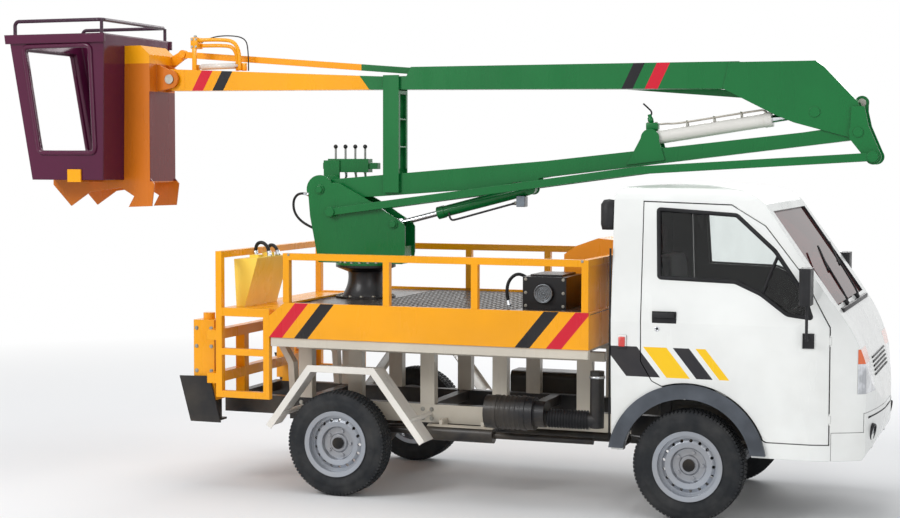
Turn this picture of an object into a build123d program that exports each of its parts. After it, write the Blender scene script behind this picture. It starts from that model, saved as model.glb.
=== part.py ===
"""Cherry picker truck: a small cab-over truck with a turret and two folding booms.

All sizes are in millimetres. +X is forward, +Y is the truck's left, +Z is up, and the
origin is on the ground in the middle of the truck's length. Side outlines give X ahead
of the rear axle, which stands at AXLE_X, and Z above the ground.
"""
import os
from math import hypot

from build123d import *

os.makedirs("parts", exist_ok=True)

# Overall reach and running gear
FRONT_REACH = 3097.0
REAR_REACH = 2440.0
AXLE_X = (REAR_REACH - FRONT_REACH) / 2
WHEELBASE = 2100.0
TRACK = 1275.0
WHEEL_Y = TRACK / 2
TYRE_R = 310.0
TYRE_W = 165.0
RIM_R = 178.0
FLANGE_R = 195.0
RIM_HOLES = 17
RIM_HOLE_R = 9.0
RIM_HOLE_AT = 140.0
WHEEL_NUTS = 5
NUT_AT = 74.0
SPINDLE_R = 20.0
KINGPIN_Y = 575.0
KINGPIN_R = 12.0
SEAT_GAP = 0.3
RUN_FIT = 0.05
MOVE_GAP = 6.0

# Ladder frame
RAIL_Y = 335.0
RAIL_W = 60.0
RAIL_H = 110.0
RAIL_TOP = 525.0
RAIL_REAR = -900.0
RAIL_FRONT = 2960.0
CROSS_XS = (-870.0, -350.0, 450.0, 1050.0, 1600.0, 2900.0)
CROSS_SIZE = 60.0
AXLE_TUBE_R = 38.0
DIFF_R = 110.0
LEAF_W = 50.0
LEAF_T = 9.0
LEAF_HALF = 440.0
SHAFT_R = 30.0
SHAFT_Z = 330.0
ENGINE_X = (WHEELBASE + 70, WHEELBASE + 400)
GEARBOX_X = (WHEELBASE - 300, ENGINE_X[0])

# Deck and what stands on it
DECK_HALF = 745.0
DECK_REAR = -411.0
DECK_FRONT = 1547.0
BOARD_LOW = 931.0
BOARD_HIGH = 1140.0
BOARD_T = 25.0
FLOOR_Z = 1124.0
FLOOR_T = 6.0
TREAD_X = (110.0, 1040.0)
TREAD_T = 3.0
BEAM_H = 53.0
POST_XS = (-350.0, -20.0, 450.0, 905.0, 1420.0)
POST_LONG = 90.0
TUBE = 40.0
GUARD_TOP = 1433.0
GUARD_XS = (-300.0, 336.0, 875.0, 1524.0)
STEP_REAR = -745.0
STEP_LOW = 558.0
REAR_GUARD_TOP = 1436.0
STEP_DECK = 1090.0
RUNG_ZS = (578.0, 834.0)

# Stabilisers
LEG_X = -895.0
LEG_Y = DECK_HALF - 165
LEG_SIZE = 109.0
SLEEVE_WALL = 15.0
SLEEVE_LOW = 520.0
SLEEVE_TOP = 1010.0
FOOT_Z = 390.0
LEG_FIT = 0.5

# Turret and booms: pins are named points in X and Z
TURRET_X = -100.0
RING_R = 188.0
RING_TOP = 1330.0
RING_T = 14.0
PEDESTAL_R = 112.0
SPIGOT_R = 60.0
PLATE_IN = 78.0
PLATE_T = 12.0
LOWER_HALF = 50.0
UPPER_HALF = 56.0
TIP_HALF = 50.0
GUSSET_T = 10.0
SKIN = 6.0
LINK_IN = 96.0
LINK_W = 30.0
LINK_H = 46.0
TOP_LINK_W = 20.0
TOP_LINK_H = 40.0
PIN_R = 20.0
SMALL_PIN_R = 16.0
BOOM_PIN = (-375.0, 1798.0)
KNUCKLE_PIN = (2918.0, 2146.0)
LOWER_LEVER = (85.0, -138.0)
UPPER_LEVER = 168.0
TIP_PIN = (-1440.0, 2500.0)
LINK_BEND = (1681.0, 1928.0)
LIFT_BASE = (985.0, 1812.0)
LIFT_EYE = (120.0, 1589.0)
LIFT_R = 35.0
LIFT_ROD_R = 18.0
LIFT_BARREL_L = 621.0
LUFF_BASE = (1723.0, 2114.0)
LUFF_EYE = (2673.0, 2261.0)
LUFF_R = 40.0
LUFF_ROD_R = 22.5
LUFF_BARREL_L = 712.0
REST_X = (46.0, 150.0)

# Bucket
BUCKET_HALF = 420.0
BUCKET_LOW = 1851.0
BUCKET_HIGH = 2780.0
BUCKET_WALL = 34.0
SILL_Z = 2030.0
COLUMN_FRONT = -1535.0
COLUMN_HALF = 165.0
COLUMN_WALL = 8.0
HANDRAIL_Z = 2867.0
HANDRAIL_R = 12.0

# Cab
CAB_HALF = 750.0
CAB_WALL = 40.0
CAB_REAR = 1668.0
CAB_TOP = 1850.0
CAB_LOW = 387.0
CAB_FLOOR = 720.0
CAB_FLOOR_T = 30.0
FOOTWELL_TOP = 570.0
FOOTWELL_X = ENGINE_X[1] + 45
ARCH_R = 358.0
ARCH_Z = 330.0
FLARE_R = 438.0
GLASS_T = 5.0
GLASS_IN = 12.0


def ahead(points):
    """Turn points measured from the rear axle into the truck's own frame."""
    return [(AXLE_X + x, z) for x, z in points]


def shifted(point, move):
    """A point of the side view moved by a step."""
    return (point[0] + move[0], point[1] + move[1])


def brick(x, y, z, mode=Mode.ADD):
    """A box between two X values, two Y values and two Z values, X from the rear axle."""
    centre = (AXLE_X + (x[0] + x[1]) / 2, (y[0] + y[1]) / 2, (z[0] + z[1]) / 2)
    with Locations(centre):
        Box(abs(x[1] - x[0]), abs(y[1] - y[0]), abs(z[1] - z[0]), mode=mode)


def both(x, y, z, mode=Mode.ADD):
    """The same box on the left and on the right of the truck."""
    brick(x, y, z, mode)
    brick(x, (-y[0], -y[1]), z, mode)


def slab(points, y, mode=Mode.ADD, rounding=0.0):
    """A side outline extruded across the truck, between two Y values."""
    low, high = min(y), max(y)
    with BuildSketch(Plane.XZ.offset(-high)) as outline:
        with BuildLine():
            Polyline(*ahead(points), close=True)
        make_face()
        if rounding:
            fillet(outline.vertices(), rounding)
    extrude(outline.sketch, amount=high - low, dir=(0, -1, 0), mode=mode)


def slab_pair(points, y, mode=Mode.ADD, rounding=0.0):
    """The same plate on the left and on the right."""
    slab(points, y, mode, rounding)
    slab(points, (-y[0], -y[1]), mode, rounding)


def across(pin, y, radius, mode=Mode.ADD):
    """A round bar or bore along Y at a point of the side view."""
    low, high = min(y), max(y)
    with BuildSketch(Plane.XZ.offset(-high)) as disc:
        with Locations((AXLE_X + pin[0], pin[1])):
            Circle(radius)
    extrude(disc.sketch, amount=high - low, dir=(0, -1, 0), mode=mode)


def across_pair(pin, y, radius, mode=Mode.ADD):
    """The same round bar or bore on the left and on the right."""
    across(pin, y, radius, mode)
    across(pin, (-y[0], -y[1]), radius, mode)


def upright(at, z, radius, mode=Mode.ADD):
    """A round bar or bore along Z, at X from the rear axle and Y."""
    with Locations((AXLE_X + at[0], at[1], (z[0] + z[1]) / 2)):
        Cylinder(radius, abs(z[1] - z[0]), mode=mode)


def lengthwise(x, at, radius, mode=Mode.ADD):
    """A round bar or bore along X, at Y and Z."""
    with Locations(Location((AXLE_X + (x[0] + x[1]) / 2, at[0], at[1]), (0, 90, 0))):
        Cylinder(radius, abs(x[1] - x[0]), mode=mode)


def ram(base, eye, start, end, radius, y=0.0, mode=Mode.ADD):
    """A round bar along the line from one pin to another, between two distances from the first."""
    reach = hypot(eye[0] - base[0], eye[1] - base[1])
    ux, uz = (eye[0] - base[0]) / reach, (eye[1] - base[1]) / reach
    at = (AXLE_X + base[0] + ux * start, y, base[1] + uz * start)
    with BuildSketch(Plane(origin=at, x_dir=(0, 1, 0), z_dir=(ux, 0, uz))) as section:
        Circle(radius)
    extrude(section.sketch, amount=end - start, dir=(ux, 0, uz), mode=mode)


def strip(points, height):
    """A closed outline of a bent bar, half its height above and half below its path."""
    sides = ([], [])
    for i, (x, z) in enumerate(points):
        normals = []
        for a, b in ((i - 1, i), (i, i + 1)):
            if a >= 0 and b < len(points):
                dx, dz = points[b][0] - points[a][0], points[b][1] - points[a][1]
                normals.append((-dz / hypot(dx, dz), dx / hypot(dx, dz)))
        nx = sum(n[0] for n in normals) / len(normals)
        nz = sum(n[1] for n in normals) / len(normals)
        scale = height / 2 / (nx * nx + nz * nz)
        sides[0].append((x + nx * scale, z + nz * scale))
        sides[1].append((x - nx * scale, z - nz * scale))
    return sides[0] + sides[1][::-1]


def finish_part(builder, label):
    """Name a finished piece and write its file."""
    builder.part.label = label
    export_step(builder.part, f"parts/{label}.step")


# Ladder frame: two box rails, their cross members and the pads that carry the cab
CAB_PADS = ((1900.0, 690.0), (2800.0, 540.0))
with BuildPart() as chassis_frame:
    rail_sides = (RAIL_Y - RAIL_W / 2, RAIL_Y + RAIL_W / 2)
    both((RAIL_REAR, RAIL_FRONT), rail_sides, (RAIL_TOP - RAIL_H, RAIL_TOP))
    for cross_x in CROSS_XS:
        brick((cross_x - CROSS_SIZE / 2, cross_x + CROSS_SIZE / 2), (-RAIL_Y, RAIL_Y),
              (RAIL_TOP - CROSS_SIZE, RAIL_TOP))
    for pad_x, pad_top in CAB_PADS:
        both((pad_x - 30, pad_x + 30), (RAIL_Y - 20, RAIL_Y + 20), (RAIL_TOP, pad_top))
    # silencer below the right rail, with its pipes and hangers
    lengthwise((490, 900), (-450, 375), 48)
    lengthwise((-250, 500), (-450, 375), 20)
    lengthwise((890, 1500), (-450, 375), 20)
    for hanger_x in (560.0, 820.0):
        brick((hanger_x, hanger_x + 20), (-460, -RAIL_Y - RAIL_W / 2), (405, 450))
finish_part(chassis_frame, "chassis_frame")

# Wheels: a steel rim with a ring of holes and a tyre with rounded shoulders
BEAD = TYRE_W / 2 - 12
# name, X from the rear axle, side
WHEELS = (
    ("front_right", WHEELBASE, -1),
    ("front_left", WHEELBASE, 1),
    ("rear_right", 0.0, -1),
    ("rear_left", 0.0, 1),
)
for wheel, wheel_x, side in WHEELS:
    hub = Plane(origin=(AXLE_X + wheel_x, side * WHEEL_Y, TYRE_R), x_dir=(1, 0, 0), z_dir=(0, side, 0))
    with BuildPart() as rim:
        with BuildSketch(Plane.XZ):
            with BuildLine():
                Polyline((SPINDLE_R + RUN_FIT, -26), (50, -26), (52, 4), (98, 4), (106, 28), (130, 32),
                         (150, 20), (RIM_R - 10, 18), (RIM_R - 10, -BEAD - 4), (FLANGE_R, -BEAD - 8),
                         (FLANGE_R, -BEAD - 3), (RIM_R, -BEAD + 2), (RIM_R, -50), (RIM_R - 4, -20),
                         (RIM_R - 4, 20), (RIM_R, 50), (RIM_R, BEAD - 2), (FLANGE_R, BEAD + 3),
                         (FLANGE_R, BEAD + 8), (RIM_R - 10, BEAD + 4), (RIM_R - 10, 34), (150, 34),
                         (130, 44), (100, 40), (92, 16), (58, 14), (50, 24), (SPINDLE_R + RUN_FIT, 24),
                         close=True)
            make_face()
        revolve(axis=Axis.Z)
        with PolarLocations(RIM_HOLE_AT, RIM_HOLES):
            Cylinder(RIM_HOLE_R, TYRE_W, mode=Mode.SUBTRACT)
        with Locations((0, 0, 28)):
            Cylinder(34, 20)
        with Locations((0, 0, 10)):
            Cylinder(SPINDLE_R + RUN_FIT, 26, mode=Mode.SUBTRACT)
        with PolarLocations(NUT_AT, WHEEL_NUTS):
            with Locations((0, 0, 20)):
                Cylinder(10, 12)
    rim.part.locate(Location(hub))
    finish_part(rim, f"rim_{wheel}")
    with BuildPart() as tyre:
        with BuildSketch(Plane.XZ):
            with BuildLine():
                half = TYRE_W / 2
                inner = RIM_R + SEAT_GAP
                Polyline((inner, -BEAD + 12), (inner + 4, -BEAD + 6), (FLANGE_R + 6, -BEAD + 2),
                         (FLANGE_R + 30, -half), (TYRE_R - 40, -half), (TYRE_R - 8, -half + 14),
                         (TYRE_R, -half + 30), (TYRE_R, half - 30), (TYRE_R - 8, half - 14),
                         (TYRE_R - 40, half), (FLANGE_R + 30, half), (FLANGE_R + 6, BEAD - 2),
                         (inner + 4, BEAD - 6), (inner, BEAD - 12), close=True)
            make_face()
        revolve(axis=Axis.Z)
    tyre.part.locate(Location(hub))
    finish_part(tyre, f"tyre_{wheel}")

# Rear axle: tube, differential bulge and the shaft to the gearbox
SPINDLE_END = WHEEL_Y + 20
with BuildPart() as rear_axle:
    across((0, TYRE_R), (-WHEEL_Y + 60, WHEEL_Y - 60), AXLE_TUBE_R)
    across((0, TYRE_R), (-SPINDLE_END, SPINDLE_END), SPINDLE_R)
    with Locations((AXLE_X, 0, TYRE_R)):
        Sphere(DIFF_R)
    lengthwise((DIFF_R - 30, GEARBOX_X[0]), (0, SHAFT_Z), SHAFT_R)
    both((-40, 40), (RAIL_Y - LEAF_W / 2, RAIL_Y + LEAF_W / 2), (TYRE_R, TYRE_R + AXLE_TUBE_R + 8))
finish_part(rear_axle, "rear_axle")

# Front axle: beam, spring seats, yokes and kingpins
YOKE_IN = KINGPIN_Y - 60
YOKE_OUT = KINGPIN_Y + 25
BOSS_HALF = 55.0
with BuildPart() as front_axle:
    across((WHEELBASE, TYRE_R), (-YOKE_IN - 5, YOKE_IN + 5), AXLE_TUBE_R - 3)
    both((WHEELBASE - 40, WHEELBASE + 40), (RAIL_Y - LEAF_W / 2, RAIL_Y + LEAF_W / 2),
         (TYRE_R, TYRE_R + AXLE_TUBE_R + 8))
    both((WHEELBASE - 25, WHEELBASE + 25), (YOKE_IN, YOKE_IN + 20), (TYRE_R - 85, TYRE_R + 85))
    for low, high in ((TYRE_R - 85, TYRE_R - BOSS_HALF), (TYRE_R + BOSS_HALF, TYRE_R + 85)):
        both((WHEELBASE - 25, WHEELBASE + 25), (YOKE_IN, YOKE_OUT), (low, high))
    for side in (-1, 1):
        upright((WHEELBASE, side * KINGPIN_Y), (TYRE_R - 85, TYRE_R + 85), KINGPIN_R)
finish_part(front_axle, "front_axle")

# Steering knuckles: a boss on the kingpin, the spindle and the steering arm
for name, side in (("right", -1), ("left", 1)):
    with BuildPart() as knuckle:
        span = (TYRE_R - BOSS_HALF + SEAT_GAP, TYRE_R + BOSS_HALF - SEAT_GAP)
        upright((WHEELBASE, side * KINGPIN_Y), span, KINGPIN_R + 12)
        across((WHEELBASE, TYRE_R), (side * KINGPIN_Y, side * SPINDLE_END), SPINDLE_R)
        brick((WHEELBASE - 140, WHEELBASE), (side * (KINGPIN_Y - 10), side * (KINGPIN_Y + 10)),
              (TYRE_R - 35, TYRE_R - 15))
        upright((WHEELBASE, side * KINGPIN_Y), span, KINGPIN_R + RUN_FIT, Mode.SUBTRACT)
    finish_part(knuckle, f"knuckle_{name}")

# Leaf springs: three leaves a side over each axle, hung from the rails
LEAF_TOP = TYRE_R + AXLE_TUBE_R + 8 + 3 * LEAF_T
with BuildPart() as leaf_springs:
    for axle in (0.0, WHEELBASE):
        for side in (-1, 1):
            ys = (side * (RAIL_Y - LEAF_W / 2), side * (RAIL_Y + LEAF_W / 2))
            for leaf, half in enumerate((LEAF_HALF, 310.0, 190.0)):
                top = LEAF_TOP - leaf * LEAF_T
                rise = 22.0 * (half / LEAF_HALF) ** 2
                x0, x1 = AXLE_X + axle - half, AXLE_X + axle + half
                with BuildSketch(Plane.XZ.offset(-max(ys))) as leaf_outline:
                    with BuildLine():
                        ThreePointArc((x0, top + rise), (AXLE_X + axle, top), (x1, top + rise))
                        Line((x1, top + rise), (x1, top + rise - LEAF_T))
                        ThreePointArc((x1, top + rise - LEAF_T), (AXLE_X + axle, top - LEAF_T),
                                      (x0, top + rise - LEAF_T))
                        Line((x0, top + rise - LEAF_T), (x0, top + rise))
                    make_face()
                extrude(leaf_outline.sketch, amount=LEAF_W, dir=(0, -1, 0))
            for end in (-LEAF_HALF, LEAF_HALF):
                brick((axle + end - 18, axle + end + 18), ys, (LEAF_TOP + 6, RAIL_TOP - RAIL_H))
finish_part(leaf_springs, "leaf_springs")

# Engine and gearbox: one plain block under the seats
with BuildPart() as engine:
    brick(ENGINE_X, (-200, 200), (370, 670))
    brick(GEARBOX_X, (-100, 100), (SHAFT_Z + 50, 560))
    brick((GEARBOX_X[0], GEARBOX_X[0] + 190), (-70, 70), (SHAFT_Z - 45, SHAFT_Z + 60))
    both((ENGINE_X[0] + 130, ENGINE_X[0] + 190), (200, RAIL_Y - RAIL_W / 2), (440, 500))
finish_part(engine, "engine")

# Fuel tank on the left rail
TANK_W = 220.0
TANK_Y = DECK_HALF - 155
with BuildPart() as fuel_tank:
    with BuildSketch(Plane.YZ.offset(AXLE_X + 700)) as tank_section:
        with Locations((TANK_Y, 520)):
            RectangleRounded(TANK_W, 240, 40)
    extrude(tank_section.sketch, amount=520)
    for bracket_x in (800.0, 1100.0):
        brick((bracket_x, bracket_x + 40), (RAIL_Y + RAIL_W / 2, TANK_Y - TANK_W / 2 + 20), (440, 500))
finish_part(fuel_tank, "fuel_tank")

# Air cleaner on the right rail, with its pipe rising behind the cab
CLEANER_Y = 145 - DECK_HALF
CLEANER_Z = 540.0
SNORKEL_X = 1560.0
with BuildPart() as air_cleaner:
    lengthwise((910, 1200), (CLEANER_Y, CLEANER_Z), 95)
    lengthwise((1195, 1264), (CLEANER_Y, CLEANER_Z), 75)
    lengthwise((1260, SNORKEL_X), (CLEANER_Y, CLEANER_Z - 20), 42)
    upright((SNORKEL_X, CLEANER_Y), (CLEANER_Z - 62, 800), 40)
    for clamp_x in (960.0, 1130.0):
        lengthwise((clamp_x, clamp_x + 24), (CLEANER_Y, CLEANER_Z), 99)
        brick((clamp_x, clamp_x + 24), (-RAIL_Y - RAIL_W / 2, CLEANER_Y + 60), (450, 510))
finish_part(air_cleaner, "air_cleaner")

# Deck substructure: posts on the rails, sills, cross beams, edge beams and joists
SILL_LOW = BOARD_LOW - 2 * BEAM_H
JOIST_TOP = FLOOR_Z - FLOOR_T
EDGE_IN = DECK_HALF - 60
with BuildPart() as deck_frame:
    for post_x in POST_XS:
        both((post_x - POST_LONG / 2, post_x + POST_LONG / 2), rail_sides, (RAIL_TOP, SILL_LOW))
        brick((post_x - 30, post_x + 30), (-EDGE_IN, EDGE_IN), (BOARD_LOW - BEAM_H, BOARD_LOW))
    both((DECK_REAR + 6, DECK_FRONT - 6), rail_sides, (SILL_LOW, BOARD_LOW - BEAM_H))
    both((DECK_REAR + 6, DECK_FRONT - 6), (EDGE_IN, DECK_HALF - 10), (BOARD_LOW - BEAM_H, BOARD_LOW))
    for post_x in POST_XS[1:]:
        brick((post_x - 30, post_x + 30), (-EDGE_IN, EDGE_IN), (BOARD_LOW, JOIST_TOP))
    both((POST_XS[1], POST_XS[-1]), rail_sides, (BOARD_LOW, JOIST_TOP))
    # struts that brace the rear platform
    slab_pair([(-655, STEP_DECK - 46), (-615, STEP_DECK - 46), (-430, 740), (-415, RAIL_TOP),
               (-455, RAIL_TOP), (-468, 730)], rail_sides)
finish_part(deck_frame, "deck_frame")

# Deck: a tray with boards all round, a sloped rear end and a sunken floor
SLOPE_TOP = DECK_REAR + 100
with BuildPart() as deck_body:
    slab([(DECK_REAR, BOARD_LOW), (DECK_FRONT, BOARD_LOW), (DECK_FRONT, BOARD_HIGH), (SLOPE_TOP, BOARD_HIGH),
          (DECK_REAR, BOARD_HIGH - 80)], (-DECK_HALF, DECK_HALF))
    inside = DECK_HALF - BOARD_T
    slab([(DECK_REAR + 12, BOARD_LOW - 1), (DECK_FRONT - 12, BOARD_LOW - 1), (DECK_FRONT - 12, JOIST_TOP),
          (SLOPE_TOP + 12, JOIST_TOP), (DECK_REAR + 12, BOARD_HIGH - 92)], (-inside, inside), Mode.SUBTRACT)
    brick((SLOPE_TOP + 20, DECK_FRONT - 12), (-inside, inside), (FLOOR_Z, BOARD_HIGH + 1), Mode.SUBTRACT)
    # tread plate laid on the floor between the turret and the power pack
    brick(TREAD_X, (-inside + 20, inside - 20), (FLOOR_Z, FLOOR_Z + TREAD_T))
finish_part(deck_body, "deck_body")

# Guard rail: square tube round the deck, with a closed headboard behind the cab
RAIL_OUT = DECK_HALF
RAIL_INNER = DECK_HALF - TUBE
with BuildPart() as deck_rails:
    for guard_x in GUARD_XS:
        both((guard_x - TUBE / 2, guard_x + TUBE / 2), (RAIL_INNER, RAIL_OUT),
             (BOARD_HIGH, GUARD_TOP - TUBE))
    both((GUARD_XS[0] - TUBE / 2, GUARD_XS[-1] + TUBE / 2), (RAIL_INNER, RAIL_OUT),
         (GUARD_TOP - TUBE, GUARD_TOP))
    brick((GUARD_XS[-1] - TUBE / 2, GUARD_XS[-1] + TUBE / 2), (-RAIL_INNER, RAIL_INNER),
          (GUARD_TOP - TUBE, GUARD_TOP))
    brick((GUARD_XS[-1] + 11, GUARD_XS[-1] + 14), (-RAIL_INNER, RAIL_INNER), (BOARD_HIGH, GUARD_TOP - TUBE))
finish_part(deck_rails, "deck_rails")

# Rear platform with ladder sides, carried on two beams across the frame's tail
STEP_FRONT = DECK_REAR - TUBE / 2
STEP_BACK = STEP_REAR - TUBE / 2
BEAM_BACK = LEG_X + LEG_SIZE / 2 + LEG_FIT + SLEEVE_WALL
with BuildPart() as rear_platform:
    for low in (640.0, 900.0):
        brick((BEAM_BACK, STEP_BACK), (-DECK_HALF, DECK_HALF), (low, low + 60))
    both((BEAM_BACK, STEP_BACK), rail_sides, (RAIL_TOP, 640))
    both((BEAM_BACK, STEP_BACK), rail_sides, (700, 900))
    both((STEP_BACK, STEP_BACK + TUBE), (RAIL_INNER, RAIL_OUT), (STEP_LOW, REAR_GUARD_TOP))
    both((STEP_FRONT - TUBE / 2, STEP_FRONT + TUBE / 2), (RAIL_INNER, RAIL_OUT), (STEP_LOW, STEP_DECK - 42))
    for rung_z in RUNG_ZS:
        both((STEP_BACK + TUBE, STEP_FRONT - TUBE / 2), (RAIL_INNER, RAIL_OUT), (rung_z - 20, rung_z + 20))
    both((STEP_BACK + TUBE, DECK_REAR), (RAIL_INNER, RAIL_OUT), (STEP_DECK - 42, STEP_DECK + 8))
    brick((STEP_BACK, DECK_REAR), (-RAIL_INNER, RAIL_INNER), (STEP_DECK - 6, STEP_DECK))
    for tie_x in (STEP_BACK, -655.0, STEP_FRONT - TUBE / 2):
        brick((tie_x, tie_x + TUBE), (-RAIL_INNER, RAIL_INNER), (STEP_DECK - 46, STEP_DECK - 6))
    brick((STEP_BACK, STEP_BACK + TUBE), (-RAIL_INNER, RAIL_INNER), (REAR_GUARD_TOP - TUBE, REAR_GUARD_TOP))
finish_part(rear_platform, "rear_platform")

# Oil tank, leaning on the rear platform
with BuildPart() as oil_tank:
    slab([(-735, 1380), (-575, 1388), (-665, STEP_DECK), (-720, STEP_DECK)], (-560, -110))
    with Locations((AXLE_X - 655, -250, 1390)):
        Cylinder(38, 34)
    with Locations((AXLE_X - 655, -420, 1386)):
        Box(60, 60, 30)
finish_part(oil_tank, "oil_tank")

# Power pack on the deck: motor case with a round fan
with BuildPart() as power_pack:
    brick((1065, 1327), (-430, -60), (FLOOR_Z, 1310))
    across((1196, 1215), (-452, -425), 52)
    across((1196, 1215), (-455, -440), 40, Mode.SUBTRACT)
    brick((1100, 1290), (-390, -100), (1300, 1322))
finish_part(power_pack, "power_pack")

# Sloped cover over the pump beside it
with BuildPart() as pump_cover:
    cover = [(1190, FLOOR_Z), (1190, 1420), (1260, 1470), (1400, 1520), (1500, 1510), (1500, FLOOR_Z)]
    slab(cover, (0, 480))
    slab([(1200, FLOOR_Z - 1), (1200, 1413), (1266, 1460), (1402, 1510), (1490, 1502),
          (1490, FLOOR_Z - 1)], (10, 470), Mode.SUBTRACT)
    brick((1230, 1470), (60, 420), (FLOOR_Z, 1330))
    brick((1185, 1205), (60, 420), (1180, 1330), Mode.SUBTRACT)
finish_part(pump_cover, "pump_cover")

# Rear mudguards: three flat runs over each wheel, on stays from the rails
GUARD_T = 4.0
MUD_PATH = [(-417, 397), (-153, 756), (249, 756), (559, 352)]
STAY_XS = (-363.0, 468.0)
with BuildPart() as rear_mudguards:
    slab_pair(strip(MUD_PATH, GUARD_T), (560, DECK_HALF))
    slab_pair(strip(MUD_PATH, 40.0), (DECK_HALF - GUARD_T, DECK_HALF))
    for stay_x in STAY_XS:
        across_pair((stay_x, 470), (RAIL_Y + RAIL_W / 2, DECK_HALF - GUARD_T), 15)
finish_part(rear_mudguards, "rear_mudguards")

# Stabilisers: square sleeves at the rear corners, with a leg and foot in each
SLEEVE = LEG_SIZE / 2 + LEG_FIT
with BuildPart() as stabiliser_sleeves:
    outer = SLEEVE + SLEEVE_WALL
    both((LEG_X - outer, LEG_X + outer), (LEG_Y - outer, LEG_Y + outer), (SLEEVE_LOW, SLEEVE_TOP))
    both((LEG_X - SLEEVE, LEG_X + SLEEVE), (LEG_Y - SLEEVE, LEG_Y + SLEEVE),
         (SLEEVE_LOW - 1, SLEEVE_TOP - 12), Mode.SUBTRACT)
    for side in (-1, 1):
        upright((LEG_X, side * LEG_Y), (SLEEVE_TOP, SLEEVE_TOP + 40), 36)
finish_part(stabiliser_sleeves, "stabiliser_sleeves")
for name, side in (("right", -1), ("left", 1)):
    with BuildPart() as leg:
        brick((LEG_X - LEG_SIZE / 2, LEG_X + LEG_SIZE / 2),
              (side * (LEG_Y - LEG_SIZE / 2), side * (LEG_Y + LEG_SIZE / 2)), (FOOT_Z + 4, SLEEVE_TOP - 18))
        brick((LEG_X - 80, LEG_X + 80), (side * (LEG_Y - 70), side * (LEG_Y + SLEEVE + 32)),
              (FOOT_Z, FOOT_Z + 12))
        brick((LEG_X - 45, LEG_X + 60), (side * LEG_Y, side * (LEG_Y + 82)), (FOOT_Z + 4, SLEEVE_LOW - 15))
        plate = [(LEG_X - 159, FOOT_Z + 276), (LEG_X + 44, FOOT_Z + 281), (LEG_X + 118, FOOT_Z),
                 (LEG_X - 84, FOOT_Z)]
        slab(plate, (side * (LEG_Y + 78), side * (LEG_Y + 90)))
    finish_part(leg, f"stabiliser_leg_{name}")


# Pedestal: flared column with its slewing ring and the spigot that the turret turns on
with BuildPart() as pedestal:
    with BuildSketch(Plane.XZ):
        with BuildLine():
            Polyline((0, FLOOR_Z), (RING_R, FLOOR_Z), (RING_R, FLOOR_Z + 12),
                     (PEDESTAL_R + 40, FLOOR_Z + 12))
            ThreePointArc((PEDESTAL_R + 40, FLOOR_Z + 12), (PEDESTAL_R + 8, FLOOR_Z + 70),
                          (PEDESTAL_R, RING_TOP - RING_T - 30))
            Polyline((PEDESTAL_R, RING_TOP - RING_T - 30), (RING_R, RING_TOP - RING_T), (RING_R, RING_TOP),
                     (SPIGOT_R, RING_TOP), (SPIGOT_R, RING_TOP + 60), (0, RING_TOP + 60), (0, FLOOR_Z))
        make_face()
    revolve(axis=Axis.Z)
pedestal.part.locate(Location((AXLE_X + TURRET_X, 0, 0)))
finish_part(pedestal, "pedestal")

# Turret: two side plates on a base, with the boom pin, the link pins and the valve bracket
PLATE_OUT = PLATE_IN + PLATE_T
BASE_LOW = RING_TOP + SEAT_GAP
BASE_TOP = BASE_LOW + 26
LINK_PIN = shifted(BOOM_PIN, LOWER_LEVER)
LINK_OUT = LINK_IN + LINK_W
VALVE_Y = 160.0
with BuildPart() as turret:
    upright((TURRET_X, 0), (BASE_LOW, BASE_LOW + RING_T), RING_R)
    brick((-385, 185), (-PLATE_OUT, PLATE_OUT), (BASE_LOW + RING_T, BASE_TOP))
    upright((TURRET_X, 0), (BASE_LOW, RING_TOP + 66), SPIGOT_R + 22)
    upright((TURRET_X, 0), (BASE_LOW - 1, RING_TOP + 67), SPIGOT_R + RUN_FIT, Mode.SUBTRACT)
    slab_pair([(-385, BASE_LOW + RING_T), (185, BASE_LOW + RING_T), (197, 1413), (197, 1573), (185, 1595),
               (-25, 1723), (-250, 1840), (-375, 1840), (-459, 1827), (-442, 1630), (-397, 1404)],
              (PLATE_IN, PLATE_OUT))
    across_pair(BOOM_PIN, (PLATE_IN, PLATE_OUT), 90)
    across(BOOM_PIN, (-PLATE_OUT - 4, PLATE_OUT + 4), PIN_R)
    across_pair(LINK_PIN, (PLATE_OUT, LINK_IN - SEAT_GAP), PIN_R + 14)
    across_pair(LINK_PIN, (PLATE_OUT, LINK_OUT + 9), PIN_R)
    across_pair(LINK_PIN, (LINK_OUT + SEAT_GAP, LINK_OUT + 9), PIN_R + 10)
    brick((-392, -380), (-PLATE_IN, PLATE_IN), (BASE_LOW + RING_T, 1600))
    brick((172, 184), (-PLATE_IN, PLATE_IN), (BASE_LOW + RING_T, 1450))
    brick((-455, -345), (PLATE_OUT, VALVE_Y), (1832, 1842))
    brick((-455, -345), (VALVE_Y - 10, VALVE_Y), (1842, 1980))
finish_part(turret, "turret")

# Valve block with its row of levers
LEVERS = 4
with BuildPart() as valve_block:
    brick((-430, -150), (VALVE_Y, VALVE_Y + 70), (1904, 1990))
    brick((-468, -91), (VALVE_Y + 10, VALVE_Y + 60), (1925, 1965))
    for lever in range(LEVERS):
        upright((-390 + lever * 68, VALVE_Y + 35), (1990, 2060), 7)
        with Locations((AXLE_X - 390 + lever * 68, VALVE_Y + 35, 2068)):
            Sphere(14)
finish_part(valve_block, "valve_block")

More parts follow.
